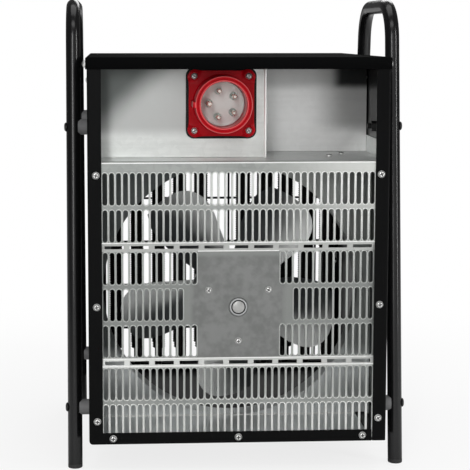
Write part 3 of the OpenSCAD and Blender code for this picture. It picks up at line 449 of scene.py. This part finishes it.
# (radius, height) points turned round Z into a closed body, then put in place
def lathe(outline, steps, spot=None):
    bm = bmesh.new()
    verts = [bm.verts.new((r, 0, h)) for r, h in outline]
    edges = [bm.edges.new(pair) for pair in zip(verts, verts[1:])]
    bmesh.ops.spin(bm, geom=verts + edges, cent=(0, 0, 0), axis=(0, 0, 1), angle=2 * math.pi,
                   steps=steps, use_merge=True)
    bmesh.ops.remove_doubles(bm, verts=bm.verts, dist=1e-7)
    bmesh.ops.dissolve_degenerate(bm, edges=bm.edges, dist=1e-7)
    bmesh.ops.recalc_face_normals(bm, faces=bm.faces)
    if spot:
        bmesh.ops.transform(bm, matrix=spot, verts=bm.verts)
    return bm


def allOf(bm):
    return bm.verts[:] + bm.edges[:] + bm.faces[:]


def roundOff(bm, edges, offset, segments):
    bmesh.ops.bevel(bm, geom=edges, offset=offset, segments=segments, profile=0.5,
                    affect="EDGES", material=-1)


def block(low, high, rounding=0.0, segments=2):
    bm = bmesh.new()
    bmesh.ops.create_cube(bm, size=1)
    low, high = Vector(low), Vector(high)
    bmesh.ops.scale(bm, vec=high - low, verts=bm.verts)
    bmesh.ops.translate(bm, vec=(low + high) / 2, verts=bm.verts)
    if rounding:
        roundOff(bm, bm.edges[:], rounding, segments)
    return bm


def meshOf(bm, name="part"):
    mesh = bpy.data.meshes.new(name)
    bm.to_mesh(mesh)
    bm.free()
    return mesh


def join(target, mesh, spot=None, keep=False):
    if isinstance(mesh, bmesh.types.BMesh):
        mesh = meshOf(mesh)
    start = len(target.verts)
    target.from_mesh(mesh)
    if not keep:
        bpy.data.meshes.remove(mesh)
    if spot:
        target.verts.ensure_lookup_table()
        bmesh.ops.transform(target, matrix=spot, verts=target.verts[start:])


def carve(body, cutter):
    pair = [bpy.data.objects.new("carve", meshOf(bm)) for bm in (body, cutter)]
    for item in pair:
        bpy.context.scene.collection.objects.link(item)
    tool = pair[0].modifiers.new("carve", "BOOLEAN")
    tool.object = pair[1]
    tool.operation = "DIFFERENCE"
    tool.use_self = True
    bpy.context.view_layer.update()
    shaped = pair[0].evaluated_get(bpy.context.evaluated_depsgraph_get())
    bm = bmesh.new()
    bm.from_mesh(bpy.data.meshes.new_from_object(shaped))
    for item in pair:
        bpy.data.objects.remove(item)
    return bm


# the box of each separate solid in a CAD node, left to right
def solidsOf(name):
    bm = bmesh.new()
    bm.from_mesh(nodes[name].data)
    bmesh.ops.remove_doubles(bm, verts=bm.verts, dist=1e-6)
    waiting, found = set(bm.verts), []
    while waiting:
        trail, group = [waiting.pop()], []
        while trail:
            vert = trail.pop()
            group.append(vert.co.copy())
            for edge in vert.link_edges:
                other = edge.other_vert(vert)
                if other in waiting:
                    waiting.remove(other)
                    trail.append(other)
        low = Vector([min(p[i] for p in group) for i in range(3)])
        high = Vector([max(p[i] for p in group) for i in range(3)])
        found.append((low, high))
    bm.free()
    return sorted(found, key=lambda box: (round(box[0].x, 4), round(box[0].z, 4), round(box[0].y, 4)))


# screws: pan heads with a cross recess, bolts with a round head
screwLook = {"steps": 28, "crossWide": 0.17, "crossLong": 0.66, "crossDeep": 0.80,
             "taper": (0.55, 0.75), "socket": 0.22}


def screwMesh(wide, tall, shank, length, drive):
    r = wide / 2
    outline = [(0, tall), (r * 0.40, tall * 0.97), (r * 0.68, tall * 0.86), (r * 0.88, tall * 0.62),
               (r * 0.98, tall * 0.30), (r, tall * 0.12), (r * 0.985, 0.0), (shank, 0.0),
               (shank, -length), (0, -length)]
    body = lathe(outline, screwLook["steps"])
    cutter = bmesh.new()
    if drive == "cross":
        across, along = wide * screwLook["crossWide"] / 2, wide * screwLook["crossLong"] / 2
        for turn in (0, 90):
            bar = block((-along, -across, tall * (1 - screwLook["crossDeep"])), (along, across, tall * 1.3))
            for vert in bar.verts:
                if vert.co.z < tall:
                    vert.co.x *= screwLook["taper"][0]
                    vert.co.y *= screwLook["taper"][1]
            join(cutter, bar, Matrix.Rotation(math.radians(turn), 4, "Z"))
        dimple = [(0, tall * 1.3), (along * 0.42, tall * 1.3), (along * 0.34, tall * 0.32), (0, tall * 0.28)]
        join(cutter, lathe(dimple, 12))
    else:
        socket = wide * screwLook["socket"]
        bmesh.ops.create_cone(cutter, cap_ends=True, segments=6, radius1=socket, radius2=socket,
                              depth=tall * 1.2, matrix=moved(0, 0, tall))
    shaped = carve(body, cutter)
    # painted shade: the recess faces get the darker metal
    for face in shaped.faces:  # faces inside the recess take the dark finish
        middle = face.calc_center_median()
        inside = math.hypot(middle.x, middle.y) < 0.80 * r
        face.material_index = int(inside and 0.02 * tall < middle.z < 0.80 * tall)
    return meshOf(shaped, "screw")


# for each way that heads face: the turn, the axis, and which end of the solid the head is at
facings = {"rear": (toRear, 1, -1), "front": (toFront, 1, 1), "up": (Matrix.Identity(4), 2, 1),
           "left": (toLeft, 0, -1), "right": (toRight, 0, 1)}


def dressScrews(nodeName, wide, tall, facing, drive="cross", shank=0.0019):
    mesh = None
    bm = bmesh.new()
    for low, high in solidsOf(nodeName):
        spot = (low + high) / 2
        way = facing
        if facing == "sides":
            way = "right" if spot.x > 0 else "left"
        turn, axis, end = facings[way]
        spot[axis] = high[axis] - tall if end > 0 else low[axis] + tall
        if mesh is None:
            mesh = screwMesh(wide, tall, shank, high[axis] - low[axis] - tall, drive)
        spin = Matrix.Rotation(random.uniform(0, math.pi), 4, "Z")
        join(bm, mesh, Matrix.Translation(spot) @ turn @ spin, keep=True)
    slot = slotOf[nodeName]
    piece = makePiece(nodeName + "Detail", bm, finishes[slot], "housing", (nodeName,), 0.5)
    piece.data.materials.append(crossPaintedShade)


dressScrews("rim_screws", 0.0080, 0.0024, "rear")
dressScrews("motor_screws", 0.0074, 0.0024, "rear")
dressScrews("inlet_screws", 0.0070, 0.0024, "rear")
dressScrews("floor_screws", 0.0070, 0.0024, "up")
dressScrews("roof_screws", 0.0080, 0.0034, "sides")
dressScrews("side_screws", 0.0060, 0.0018, "sides")
dressScrews("front_screws", 0.0080, 0.0024, "front")
dressScrews("frame_bolts", 0.0100, 0.0024, "sides", "hex", 0.003)
print("screws and bolts made")


# tube hoops: handle, bends and leaning legs in one tube, with rubber end caps
hoopSize = {"x": 0.1785, "midY": -0.0094, "tube": 0.016, "bendR": 0.042, "axisZ": 0.508,
            "gapTop": 0.167, "gapFoot": 0.281, "cap": 0.004, "round": 48, "bendSteps": 18}
lean = math.atan((hoopSize["gapFoot"] - hoopSize["gapTop"]) / 2 / hoopSize["axisZ"])


def bentHoop(side):
    h = hoopSize
    run = h["bendR"] * math.tan((math.pi / 2 - lean) / 2)
    reach = h["gapTop"] / 2 - run
    legLong = h["axisZ"] / math.cos(lean) - h["cap"] - run
    footY = h["midY"] - h["gapFoot"] / 2 + math.sin(lean) * h["cap"]
    foot = Vector((side * h["x"], footY, math.cos(lean) * h["cap"]))
    bm = bmesh.new()
    bmesh.ops.create_circle(bm, segments=h["round"], radius=h["tube"] / 2,
                            matrix=Matrix.Translation(foot) @ Matrix.Rotation(-lean, 4, "X"))
    ring = bm.edges[:]

    def stretch(edges, way):
        made = bmesh.ops.extrude_edge_only(bm, edges=edges)["geom"]
        verts = [g for g in made if isinstance(g, bmesh.types.BMVert)]
        bmesh.ops.translate(bm, vec=way, verts=verts)
        ends = set(verts)
        return [g for g in made if isinstance(g, bmesh.types.BMEdge) and ends.issuperset(g.verts)]

    def bend(edges, y):
        verts = list({v for e in edges for v in e.verts})
        made = bmesh.ops.spin(bm, geom=verts + edges, cent=(side * h["x"], y, h["axisZ"] - h["bendR"]),
                              axis=(1, 0, 0), angle=-(math.pi / 2 - lean), steps=h["bendSteps"])
        return [g for g in made["geom_last"] if isinstance(g, bmesh.types.BMEdge)]

    ring = stretch(ring, Vector((0, math.sin(lean), math.cos(lean))) * legLong)
    ring = bend(ring, h["midY"] - reach)
    ring = stretch(ring, Vector((0, 2 * reach, 0)))
    ring = bend(ring, h["midY"] + reach)
    stretch(ring, Vector((0, math.sin(lean), -math.cos(lean))) * legLong)
    bmesh.ops.holes_fill(bm, edges=[e for e in bm.edges if len(e.link_faces) == 1])
    bmesh.ops.recalc_face_normals(bm, faces=bm.faces)
    return bm


for side, nodeName in ((-1, "hoop_left"), (1, "hoop_right")):
    makePiece(nodeName + "Tube", bentHoop(side), finishes["hoop_black"], replaced=(nodeName,))

caps = bmesh.new()
for side in (-1, 1):
    for end in (-1, 1):
        r = hoopSize["tube"] / 2
        cap = lathe([(0, -0.003), (r, -0.003), (r, 0.0038), (r - 0.0004, 0.00395), (r - 0.0020, 0.00395),
                     (r - 0.0020, 0.012), (0, 0.012)], 40, Matrix.Rotation(end * lean, 4, "X"))
        cut = bmesh.ops.bisect_plane(cap, geom=allOf(cap), plane_co=(0, 0, 0), plane_no=(0, 0, -1),
                                     clear_outer=True)
        rim = [g for g in cut["geom_cut"] if isinstance(g, bmesh.types.BMEdge)]
        bmesh.ops.edgeloop_fill(cap, edges=rim)
        sole = [e for e in cap.edges if all(abs(v.co.z) < 1e-6 for v in e.verts)]
        roundOff(cap, sole, 0.0009, 2)
        bmesh.ops.recalc_face_normals(cap, faces=cap.faces)
        join(caps, cap, moved(side * hoopSize["x"], hoopSize["midY"] + end * hoopSize["gapFoot"] / 2, 0))
makePiece("endCaps", caps, finishes["cap_black"], replaced=("foot_caps",))
print("hoops and caps made")


# roof: one sheet folded down on four sides
roofSheet = {"corner": 0.0038, "fold": 0.0016, "sheet": 0.0012}
low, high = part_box("roof")
tray = block(low, high)
upright = [e for e in tray.edges if abs(e.verts[0].co.z - e.verts[1].co.z) > 0.001]
roundOff(tray, upright, roofSheet["corner"], 5)
crown = [e for e in tray.edges if all(v.co.z > high.z - 1e-5 for v in e.verts)]
roundOff(tray, crown, roofSheet["fold"], 3)
bmesh.ops.delete(tray, geom=[f for f in tray.faces if f.normal.z < -0.9], context="FACES")
roofPiece = makePiece("roofTray", tray, finishes["roof_black"], replaced=("roof",), crease=0.9)
thick = roofPiece.modifiers.new("sheet", "SOLIDIFY")
thick.thickness = roofSheet["sheet"]
thick.offset = -1
print("roof made")


# grille: pressed lips round the punched slots
slots = {"columns": 40, "pitch": 0.00739, "wide": 0.0052, "tall": 0.035, "rowGap": 0.005, "band": 0.0115,
         "head": 0.0115, "frontY": rearY + 0.0012, "setBack": 0.0035, "rows": 7, "setBackRows": (2, 3, 4),
         "belowFold": (2, 5), "blank": {2: 6, 3: 8, 4: 6}, "arc": 7,
         "lip": ((0.00106, -0.00002), (0.00070, -0.00030), (0.00022, -0.00034), (-0.00004, 0.00005),
                 (-0.00010, 0.0022))}


def slotRim(bm, x, top, y):
    s = slots
    r = s["wide"] / 2
    path = []
    for end, centre in ((1, top - r), (-1, top - s["tall"] + r)):
        for i in range(s["arc"] + 1):
            a = math.pi * i / s["arc"] + (0 if end > 0 else math.pi)
            path.append((x, centre, math.cos(a), math.sin(a)))
    rings = []
    for out, depth in s["lip"]:
        wide = r + out
        verts = [bm.verts.new((cx + ux * wide, y + depth, cz + uz * wide)) for cx, cz, ux, uz in path]
        rings.append([bm.edges.new((verts[i], verts[(i + 1) % len(verts)])) for i in range(len(verts))])
    for a, b in zip(rings, rings[1:]):
        bmesh.ops.bridge_loops(bm, edges=a + b)


rim = bmesh.new()
slotRim(rim, 0, 0, 0)
bmesh.ops.recalc_face_normals(rim, faces=rim.faces)
rimMesh = meshOf(rim, "slotRim")
lips = bmesh.new()
for row in range(slots["rows"]):
    top = deckZ - slots["head"] - row * (slots["tall"] + slots["rowGap"])
    top -= (slots["band"] - slots["rowGap"]) * sum(row >= first for first in slots["belowFold"])
    y = slots["frontY"] + (slots["setBack"] if row in slots["setBackRows"] else 0)
    for column in range(slots["blank"].get(row, 0), slots["columns"] // 2):
        for side in (-1, 1):
            join(lips, rimMesh, moved(side * (column + 0.5) * slots["pitch"], y, top), keep=True)
makePiece("slotLips", lips, lipHighlightZinc, crease=1.2)
print("grille lips made")


# rounded bends where sheets are folded over: grille top, floor edge, bracket edge; their zinc is painted
# nearly white, lighter than the sheets, a painted highlight
def bendLine(name, start, end, radius, material=bendHighlightZinc):
    start, end = Vector(start), Vector(end)
    way = end - start
    turn = way.to_track_quat("Z", "Y").to_matrix().to_4x4()
    line = lathe([(0, 0), (radius * 0.8, 0), (radius, radius * 0.2), (radius, way.length - radius * 0.2),
                  (radius * 0.8, way.length), (0, way.length)], 20, Matrix.Translation(start) @ turn)
    makePiece(name, line, material)


low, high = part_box("intake_grille")
bends = {"gap": 0.001, "top": 0.0011, "fold": 0.0007, "plate": 0.044, "foot": 0.0013,
         "footFrom": -0.155, "footTo": 0.145, "footY": rearY + 0.1045, "footUp": 0.0014,
         "bracket": 0.0014, "inset": 0.0013}
left, right = low.x + bends["gap"], high.x - bends["gap"]
for name, x0, x1, d, z, radius in (
        ("grilleTopBend", left, right, 0.00215, high.z - bends["top"], bends["top"]),
        ("upperFold", left, right, 0.00155, 0.2533, bends["fold"]),
        ("plateEdge", -bends["plate"], bends["plate"], 0.00505, 0.2437, bends["fold"]),
        ("lowerFoldTop", left, right, 0.00505, 0.1258, bends["fold"]),
        ("lowerFold", left, right, 0.00155, 0.1184, bends["fold"])):
    bendLine(name, (x0, rearY + d, z), (x1, rearY + d, z), radius)
low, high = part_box("fan_panel")
footY, footZ = bends["footY"], low.z + bends["footUp"]
bendLine("panelFootBend", (bends["footFrom"], footY, footZ), (bends["footTo"], footY, footZ), bends["foot"])
low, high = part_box("inlet_bracket")
edgeX, edgeY = high.x - bends["inset"], low.y + bends["inset"]
bendLine("bracketBend", (edgeX, edgeY, low.z + bends["gap"]), (edgeX, edgeY, high.z - bends["gap"]),
         bends["bracket"])


# motor's rear boss: pressed ring and a domed oil cap in the plate's hole
boss = {"z": fanZ, "y": rearY + 0.0043, "cap": 0.0068, "gap": 0.0079, "ring": 0.0101}
c = boss["cap"]
capBody = lathe([(0, 0.0007), (c * 0.86, 0.0006), (c * 0.97, 0.0002), (c, -0.0004), (0, -0.0004)], 40,
                moved(0, boss["y"] + 0.0002, boss["z"]) @ toRear)
makePiece("oilCap", capBody, capZinc)
# a black rubber ring fills the groove round the cap: painted shade in the gap
grooveShadeBody = lathe([(c - 0.0002, 0.00012), (boss["gap"], 0.00012), (boss["gap"] + 0.0001, -0.0004),
                 (c - 0.0002, -0.0004), (c - 0.0002, 0.00012)], 40, moved(0, boss["y"], boss["z"]) @ toRear)
makePiece("capGrooveShade", grooveShadeBody, finishes["gasket_rubber"])
r = boss["ring"]
ringBody = lathe([(r - 0.0009, -0.0003), (r - 0.0006, 0.0006), (r - 0.0002, 0.0006), (r + 0.0004, -0.0003),
                  (r - 0.0009, -0.0003)], 44, moved(0, boss["y"], boss["z"]) @ toRear)
makePiece("bossRing", ringBody, grilleZinc)
print("motor boss made")


# red inlet: flange with corner lugs, keyed shroud, insert with five pins
inlet = {"x": inletSpot[0], "z": inletSpot[1], "flangeY": rearY + 0.0484, "mouthY": rearY + 0.0104,
         "backY": rearY + 0.089, "floorY": rearY + 0.043, "side": 0.075, "thick": 0.005, "lug": 0.009,
         "drawIn": 0.0024, "outer": 0.031, "bore": 0.025, "circle": 0.015, "start": 34,
         "pins": (0.0025, 0.0025, 0.003, 0.0025, 0.0025), "pinShort": 0.0106, "drawnFrom": (0.021, 0.0255),
         "screwAt": 0.030, "keyHalf": 0.0035}


def inletFlange():
    half = inlet["side"] / 2
    y0 = inlet["flangeY"]
    bm = block((-half, y0, -half), (half, y0 + inlet["thick"], half))
    corners = [e for e in bm.edges if abs(e.verts[0].co.y - e.verts[1].co.y) > 0.001]
    roundOff(bm, corners, inlet["lug"], 7)
    near, far = inlet["drawnFrom"]  # the sides are drawn in between the lugs
    for at in (-far, -near, near, far):
        for no in ((1, 0, 0), (0, 0, 1)):
            bmesh.ops.bisect_plane(bm, geom=allOf(bm), plane_co=Vector(no) * at, plane_no=no)
    for vert in bm.verts:
        for a, b in ((0, 2), (2, 0)):
            if abs(vert.co[a]) < near + 0.0005 and abs(vert.co[b]) > half - 1e-4:
                vert.co[b] -= math.copysign(inlet["drawIn"], vert.co[b])
    rim = [e for e in bm.edges if len(e.link_faces) == 2 and e.calc_face_angle(0) > 1.2]
    roundOff(bm, rim, 0.0009, 3)
    bmesh.ops.recalc_face_normals(bm, faces=bm.faces)
    return bm


centre = moved(inlet["x"], 0, inlet["z"])
shell = inletFlange()
mouth = inlet["flangeY"] - inlet["mouthY"]  # how far the shroud stands out
deep = inlet["flangeY"] - inlet["backY"]
o, b = inlet["outer"], inlet["bore"]
shroud = lathe([(b, 0.0), (b, mouth - 0.0010), (b + 0.0008, mouth), (b + 0.0020, mouth),
                (b + 0.0024, mouth - 0.0016), (o - 0.0020, mouth - 0.0016), (o - 0.0016, mouth - 0.0002),
                (o - 0.0006, mouth), (o, mouth - 0.0010), (o, 0.0012), (o + 0.0012, 0.0),
                (o + 0.0012, -0.001), (o - 0.001, -0.001), (o - 0.001, deep), (0, deep), (0, -0.016),
                (b, -0.016), (b, 0.0)], 72, moved(0, inlet["flangeY"], 0) @ toRear)
join(shell, shroud)
half = inlet["keyHalf"]
key = block((-o - 0.0026, inlet["mouthY"], -half), (-o + 0.0015, inlet["flangeY"], half), 0.0012, 3)
join(shell, key)
at = inlet["screwAt"]
for sx in (-1, 1):
    for sz in (-1, 1):
        collar = lathe([(0.0038, 0.0), (0.0040, 0.0007), (0.0050, 0.0007), (0.0054, 0.0), (0.0038, 0.0)], 28,
                       moved(sx * at, inlet["flangeY"], sz * at) @ toRear)
        join(shell, collar)
bmesh.ops.transform(shell, matrix=centre, verts=shell.verts)
makePiece("inletShell", shell, finishes["inlet_red"], replaced=("inlet_housing",))

face = inlet["floorY"]
r = b - 0.0002
tip = face - inlet["mouthY"] - inlet["pinShort"]
insert = lathe([(0, 0.0), (r - 0.0022, 0.0), (r - 0.0018, 0.0008), (r - 0.0006, 0.0008), (r, 0.0002),
                (r, -0.0198), (0, -0.0198)], 72, moved(0, face, 0) @ toRear)
pins = bmesh.new()
pockets = bmesh.new()
for k, pinR in enumerate(inlet["pins"]):
    a = math.radians(inlet["start"] + 72 * k)
    spot = moved(inlet["circle"] * math.cos(a), face, inlet["circle"] * math.sin(a)) @ toRear
    join(pockets, lathe([(0, 0.004), (pinR + 0.0019, 0.004), (pinR + 0.0017, -0.0006),
                         (pinR + 0.0013, -0.0050), (0, -0.0050)], 28, spot))
    join(pins, lathe([(0, tip), (pinR * 0.55, tip), (pinR * 0.86, tip - 0.0007), (pinR, tip - 0.0022),
                      (pinR, 0.0040), (pinR * 0.9, 0.0036), (pinR * 0.9, -0.038), (0, -0.038)], 28, spot))
insert = carve(insert, pockets)
bmesh.ops.transform(insert, matrix=centre, verts=insert.verts)
bmesh.ops.transform(pins, matrix=centre, verts=pins.verts)
makePiece("inletInsert", insert, finishes["insert_grey"], replaced=("inlet_insert",))
makePiece("inletPins", pins, finishes["pin_brass"], replaced=("inlet_pins",))
print("inlet made")


# finned heater rods: hairpins with pressed fins, ceramic collars and studs
rods = {"count": 5, "pitch": 0.0264, "y": rearY + 0.242, "legs": 0.030, "core": 0.0042, "fin": 0.0078,
        "bendZ": 0.0812, "finLow": 0.0892, "finHigh": 0.3185, "finPitch": 0.0028, "finRoot": 0.0070,
        "round": 18, "studTop": 0.3625}


def rodLeg():
    c, f, p = rods["core"], rods["fin"], rods["finPitch"]
    root = rods["finRoot"]
    outline = [(c, rods["bendZ"]), (c, rods["finLow"] - 0.0004)]
    z = rods["finLow"]
    while z + p < rods["finHigh"]:
        outline += [(root, z), (f, z + 0.30 * p), (f, z + 0.55 * p), (root, z + 0.85 * p)]
        z += p
    top, stud = deckZ, rods["studTop"]
    outline += [(c, top - 0.0060), (c + 0.0025, top - 0.0060), (c + 0.0025, top - 0.0013), (c, top - 0.0013),
                (c, top + 0.0078), (0.0020, top + 0.0080), (0.0020, stud - 0.0005), (0.0015, stud), (0, stud)]
    return meshOf(lathe(outline, rods["round"]), "rodLeg")


legMesh = rodLeg()
bend = bmesh.new()
bmesh.ops.create_circle(bend, segments=rods["round"], radius=rods["core"],
                        matrix=moved(0, rods["legs"] / 2, 0))
bmesh.ops.spin(bend, geom=bend.verts[:] + bend.edges[:], cent=(0, 0, 0), axis=(1, 0, 0),
               angle=-math.pi, steps=14)
bmesh.ops.recalc_face_normals(bend, faces=bend.faces)
bendMesh = meshOf(bend, "rodBend")
for side, name in ((-1, "finnedRodsLeft"), (1, "finnedRodsRight")):
    rodPiece = bmesh.new()
    for k in range(1, rods["count"] + 1):
        x = side * k * rods["pitch"]
        for leg in (-1, 1):
            join(rodPiece, legMesh, moved(x, rods["y"] + leg * rods["legs"] / 2, 0), keep=True)
        join(rodPiece, bendMesh, moved(x, rods["y"], rods["bendZ"]), keep=True)
    makePiece(name, rodPiece, finishes["rod_dark"], replaced=("heater_rods",), crease=0.9)
print("heater rods made")


# knobs with skirt, flutes and grip bar; white pointer; dial figures on the fascia
knobs = {"y": rearY + 0.3332, "z": controlZ, "skirt": 0.020, "cap": 0.0165, "tall": 0.022,
         "bar": 0.0048, "flutes": 24, "fluteDeep": 0.035, "taper": (0.72, 0.93)}


def knobBody():
    s, c, t = knobs["skirt"], knobs["cap"], knobs["tall"]
    bm = lathe([(0, 0), (s - 0.0006, 0), (s, 0.0006), (s, 0.0026), (s - 0.0010, 0.0040),
                (c + 0.0008, 0.0044), (c, 0.0052), (c, 0.0080), (c - 0.0010, 0.0090), (0, 0.0092)], 72)
    for vert in bm.verts:  # shallow flutes round the cap
        reach = math.hypot(vert.co.x, vert.co.y)
        if c * 0.9 < reach < c + 0.0009 and 0.0048 < vert.co.z < 0.0090:
            ripple = math.cos(knobs["flutes"] * math.atan2(vert.co.y, vert.co.x))
            wave = 1 - knobs["fluteDeep"] * (0.5 + 0.5 * ripple)
            vert.co.x *= wave
            vert.co.y *= wave
    bar = block((-knobs["bar"], -c + 0.001, 0.006), (knobs["bar"], c - 0.001, t), 0.0014, 3)
    for vert in bar.verts:  # grip narrows towards its top
        if vert.co.z > 0.012:
            vert.co.x *= knobs["taper"][0]
            vert.co.y *= knobs["taper"][1]
    join(bm, bar)
    return bm


# seen from the front, start is the first figure's angle clockwise from the top, and the knobs turn
# the other way, so the figures follow each other counter-clockwise
controls = {"selector": {"x": 0.070, "start": 0, "figures": 4},
            "thermostat": {"x": -0.070, "start": 135, "figures": 7}}
for body, control in controls.items():
    turned = Matrix.Rotation(math.radians(-control["start"]), 4, "Y")
    spot = moved(control["x"], knobs["y"], knobs["z"]) @ turned @ toFront
    knob = knobBody()
    bmesh.ops.transform(knob, matrix=spot, verts=knob.verts)
    makePiece(body + "KnobBody", knob, finishes["knob_black"], body, (body + "_knob",), 0.5)
    # the pointer lies towards local -Y, which is up on the fascia
    line = block((-0.0007, -0.0152, knobs["tall"] - 0.0004), (0.0007, -0.0040, knobs["tall"] + 0.00002),
                 0.0001, 1)
    bmesh.ops.transform(line, matrix=spot, verts=line.verts)
    makePiece(body + "Pointer", line, printWhite, body)


def printed(words, size, x, z, y, extrude=0.00006):
    letters = bpy.data.curves.new("figure", "FONT")
    letters.body = words
    letters.size = size
    letters.align_x = "CENTER"
    letters.align_y = "CENTER"
    letters.extrude = extrude
    holder = bpy.data.objects.new("figure", letters)
    bpy.context.scene.collection.objects.link(holder)
    bpy.context.view_layer.update()
    mesh = bpy.data.meshes.new_from_object(holder.evaluated_get(bpy.context.evaluated_depsgraph_get()))
    bpy.data.objects.remove(holder)
    # text stands on the front face, read from the front
    mesh.transform(moved(x, y, z) @ Matrix.Rotation(math.pi, 4, "Z") @ Matrix.Rotation(math.pi / 2, 4, "X"))
    return mesh


dials = {"figureR": 0.0275, "tickIn": 0.0222, "tickOut": 0.0244, "faceY": rearY + 0.3328,
         "size": 0.0062, "figureStep": 45, "ticksPerFigure": 3}
marks = bmesh.new()
for control in controls.values():
    x = control["x"]
    for i in range(control["figures"]):
        a = math.radians(control["start"] - dials["figureStep"] * i)
        across, up = -math.sin(a) * dials["figureR"], math.cos(a) * dials["figureR"]
        join(marks, printed(str(i), dials["size"], x + across, knobs["z"] + up, dials["faceY"] + 0.00005))
    for i in range(dials["ticksPerFigure"] * (control["figures"] - 1) + 1):
        a = math.radians(control["start"] - dials["figureStep"] / dials["ticksPerFigure"] * i)
        tick = block((-0.00022, 0, dials["tickIn"]), (0.00022, 0.0001, dials["tickOut"]))
        join(marks, tick, moved(x, dials["faceY"], knobs["z"]) @ Matrix.Rotation(-a, 4, "Y"))
makePiece("dialFigures", marks, printWhite, crease=0.5)
print("knobs and dials made")


# reset spring as a real coil
springSize = {"from": rearY + 0.3205, "to": rearY + 0.3278, "r": 0.0037, "wire": 0.00032, "turns": 7,
              "stepsPerTurn": 16, "pressed": 0.65}
springFoot = (0, springSize["from"], controlZ)
coil = bmesh.new()
bmesh.ops.create_circle(coil, segments=8, radius=springSize["wire"],
                        matrix=moved(springSize["r"], springSize["from"] + 0.0004, controlZ))
steps = springSize["turns"] * springSize["stepsPerTurn"]
rise = (springSize["to"] - springSize["from"] - 0.0008) / steps
bmesh.ops.spin(coil, geom=coil.verts[:] + coil.edges[:], cent=springFoot, axis=(0, 1, 0),
               dvec=(0, rise, 0), angle=2 * math.pi * springSize["turns"], steps=steps)
bmesh.ops.holes_fill(coil, edges=[e for e in coil.edges if len(e.link_faces) == 1])
bmesh.ops.recalc_face_normals(coil, faces=coil.faces)
coilPiece = makePiece("resetCoil", coil, finishes["shaft_steel"], replaced=("reset_spring",))
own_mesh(coilPiece)
print("spring made")


# floor, world, lamps, camera
stageLook = {"size": 14, "drop": 0.0003, "floor": 0.93, "fadeFrom": 0.30, "fadeTo": 0.9,
             "whiteAtCentre": 0.80, "worldLight": 0.45, "glossyLow": 0.10, "glossyHigh": 0.75,
             "brightFrom": -0.72, "brightTo": -0.97}
floor = bmesh.new()
bmesh.ops.create_grid(floor, x_segments=1, y_segments=1, size=stageLook["size"])
floorPiece = bpy.data.objects.new("studioFloor", meshOf(floor))
bpy.context.scene.collection.objects.link(floorPiece)
floorPiece.location.z = -stageLook["drop"]
f = Finish("studioFloor")
rim = f.add("ShaderNodeVectorMath", {"operation": "LENGTH"}, {0: f.place}, "Value")
path = f.add("ShaderNodeLightPath", out="Is Camera Ray")
glowing = f.add("ShaderNodeEmission", None, {"Color": rgb(1, 1, 1), "Strength": 1.0})
f.done({"Base Color": rgb(*[stageLook["floor"]] * 3), "Roughness": 0.9, "Specular IOR Level": 0.1})
faded = f.step(rim, stageLook["fadeFrom"], stageLook["fadeTo"], stageLook["whiteAtCentre"], 1.0)
mix = f.add("ShaderNodeMixShader", None, {0: faded * path, 1: Wire(f, f.shader.outputs[0]), 2: glowing})
f.tree.links.new(mix.socket, f.tree.nodes["Material Output"].inputs["Surface"])
floorPiece.data.materials.append(f.material)

world = bpy.data.worlds.new("studio")
bpy.context.scene.world = world
world.use_nodes = True


class Sky(Finish):
    def __init__(self, tree):
        self.tree = tree


sky = Sky(world.node_tree)
ways = world.node_tree.nodes.new("ShaderNodeLightPath")
seen = Wire(sky, ways.outputs["Is Camera Ray"]) + Wire(sky, ways.outputs["Is Transmission Ray"])
glossy = Wire(sky, ways.outputs["Is Glossy Ray"])
way = sky.add("ShaderNodeTexCoord", out="Generated")
toCamera = sky.add("ShaderNodeSeparateXYZ", None, {"Vector": way}, "Y")
bright = sky.add("ShaderNodeMapRange", {"interpolation_type": "SMOOTHSTEP"},
                 {"Value": toCamera, "From Min": stageLook["brightFrom"], "From Max": stageLook["brightTo"],
                  "To Min": stageLook["glossyLow"], "To Max": stageLook["glossyHigh"]})
strength = seen + (1 - seen) * (glossy * bright + (1 - glossy) * stageLook["worldLight"])
background = world.node_tree.nodes["Background"]
background.inputs["Color"].default_value = rgb(1, 1, 1)
world.node_tree.links.new(strength.socket, background.inputs["Strength"])


def softLamp(name, spot, aim, wide, tall, power):
    lamp = bpy.data.lights.new(name, "AREA")
    lamp.shape = "RECTANGLE"
    lamp.size, lamp.size_y = wide, tall
    lamp.energy = power
    holder = bpy.data.objects.new(name, lamp)
    bpy.context.scene.collection.objects.link(holder)
    holder.location = spot
    holder.rotation_euler = (Vector(aim) - Vector(spot)).to_track_quat("-Z", "Y").to_euler()


softLamp("keyFront", (-0.55, -2.45, 1.05), (0, 0, 0.27), 0.34, 1.3, 13)
softLamp("stripRight", (1.95, -1.35, 0.85), (0, 0, 0.27), 0.22, 1.5, 14)
softLamp("overFront", (0.0, -1.25, 1.95), (0, 0, 0.20), 1.5, 0.5, 6)
softLamp("overhead", (0, 0.2, 2.1), (0, 0, 0.2), 1.6, 1.2, 9)
softLamp("farSide", (0.5, 2.0, 1.5), (0, 0, 0.3), 1.2, 0.8, 10)

# focus and frame are in pixels of the photo, yaw and pitch in degrees
view = {"spot": (-0.136, -1.680, 0.476), "yaw": 3.08, "pitch": -6.19, "focus": 1416, "frame": 470,
        "shift": (0.100, -0.100)}
lens = bpy.data.cameras.new("photoView")
lens.sensor_width = 36
lens.lens = lens.sensor_width * view["focus"] / view["frame"]
lens.shift_x, lens.shift_y = view["shift"]
lens.clip_start, lens.clip_end = 0.05, 60
camera = bpy.data.objects.new("photoView", lens)
bpy.context.scene.collection.objects.link(camera)
camera.location = view["spot"]
camera.rotation_euler = (math.radians(90 + view["pitch"]), 0, -math.radians(view["yaw"]))
bpy.context.scene.camera = camera
bpy.context.scene.view_settings.view_transform = "Standard"
print("stage and camera set")
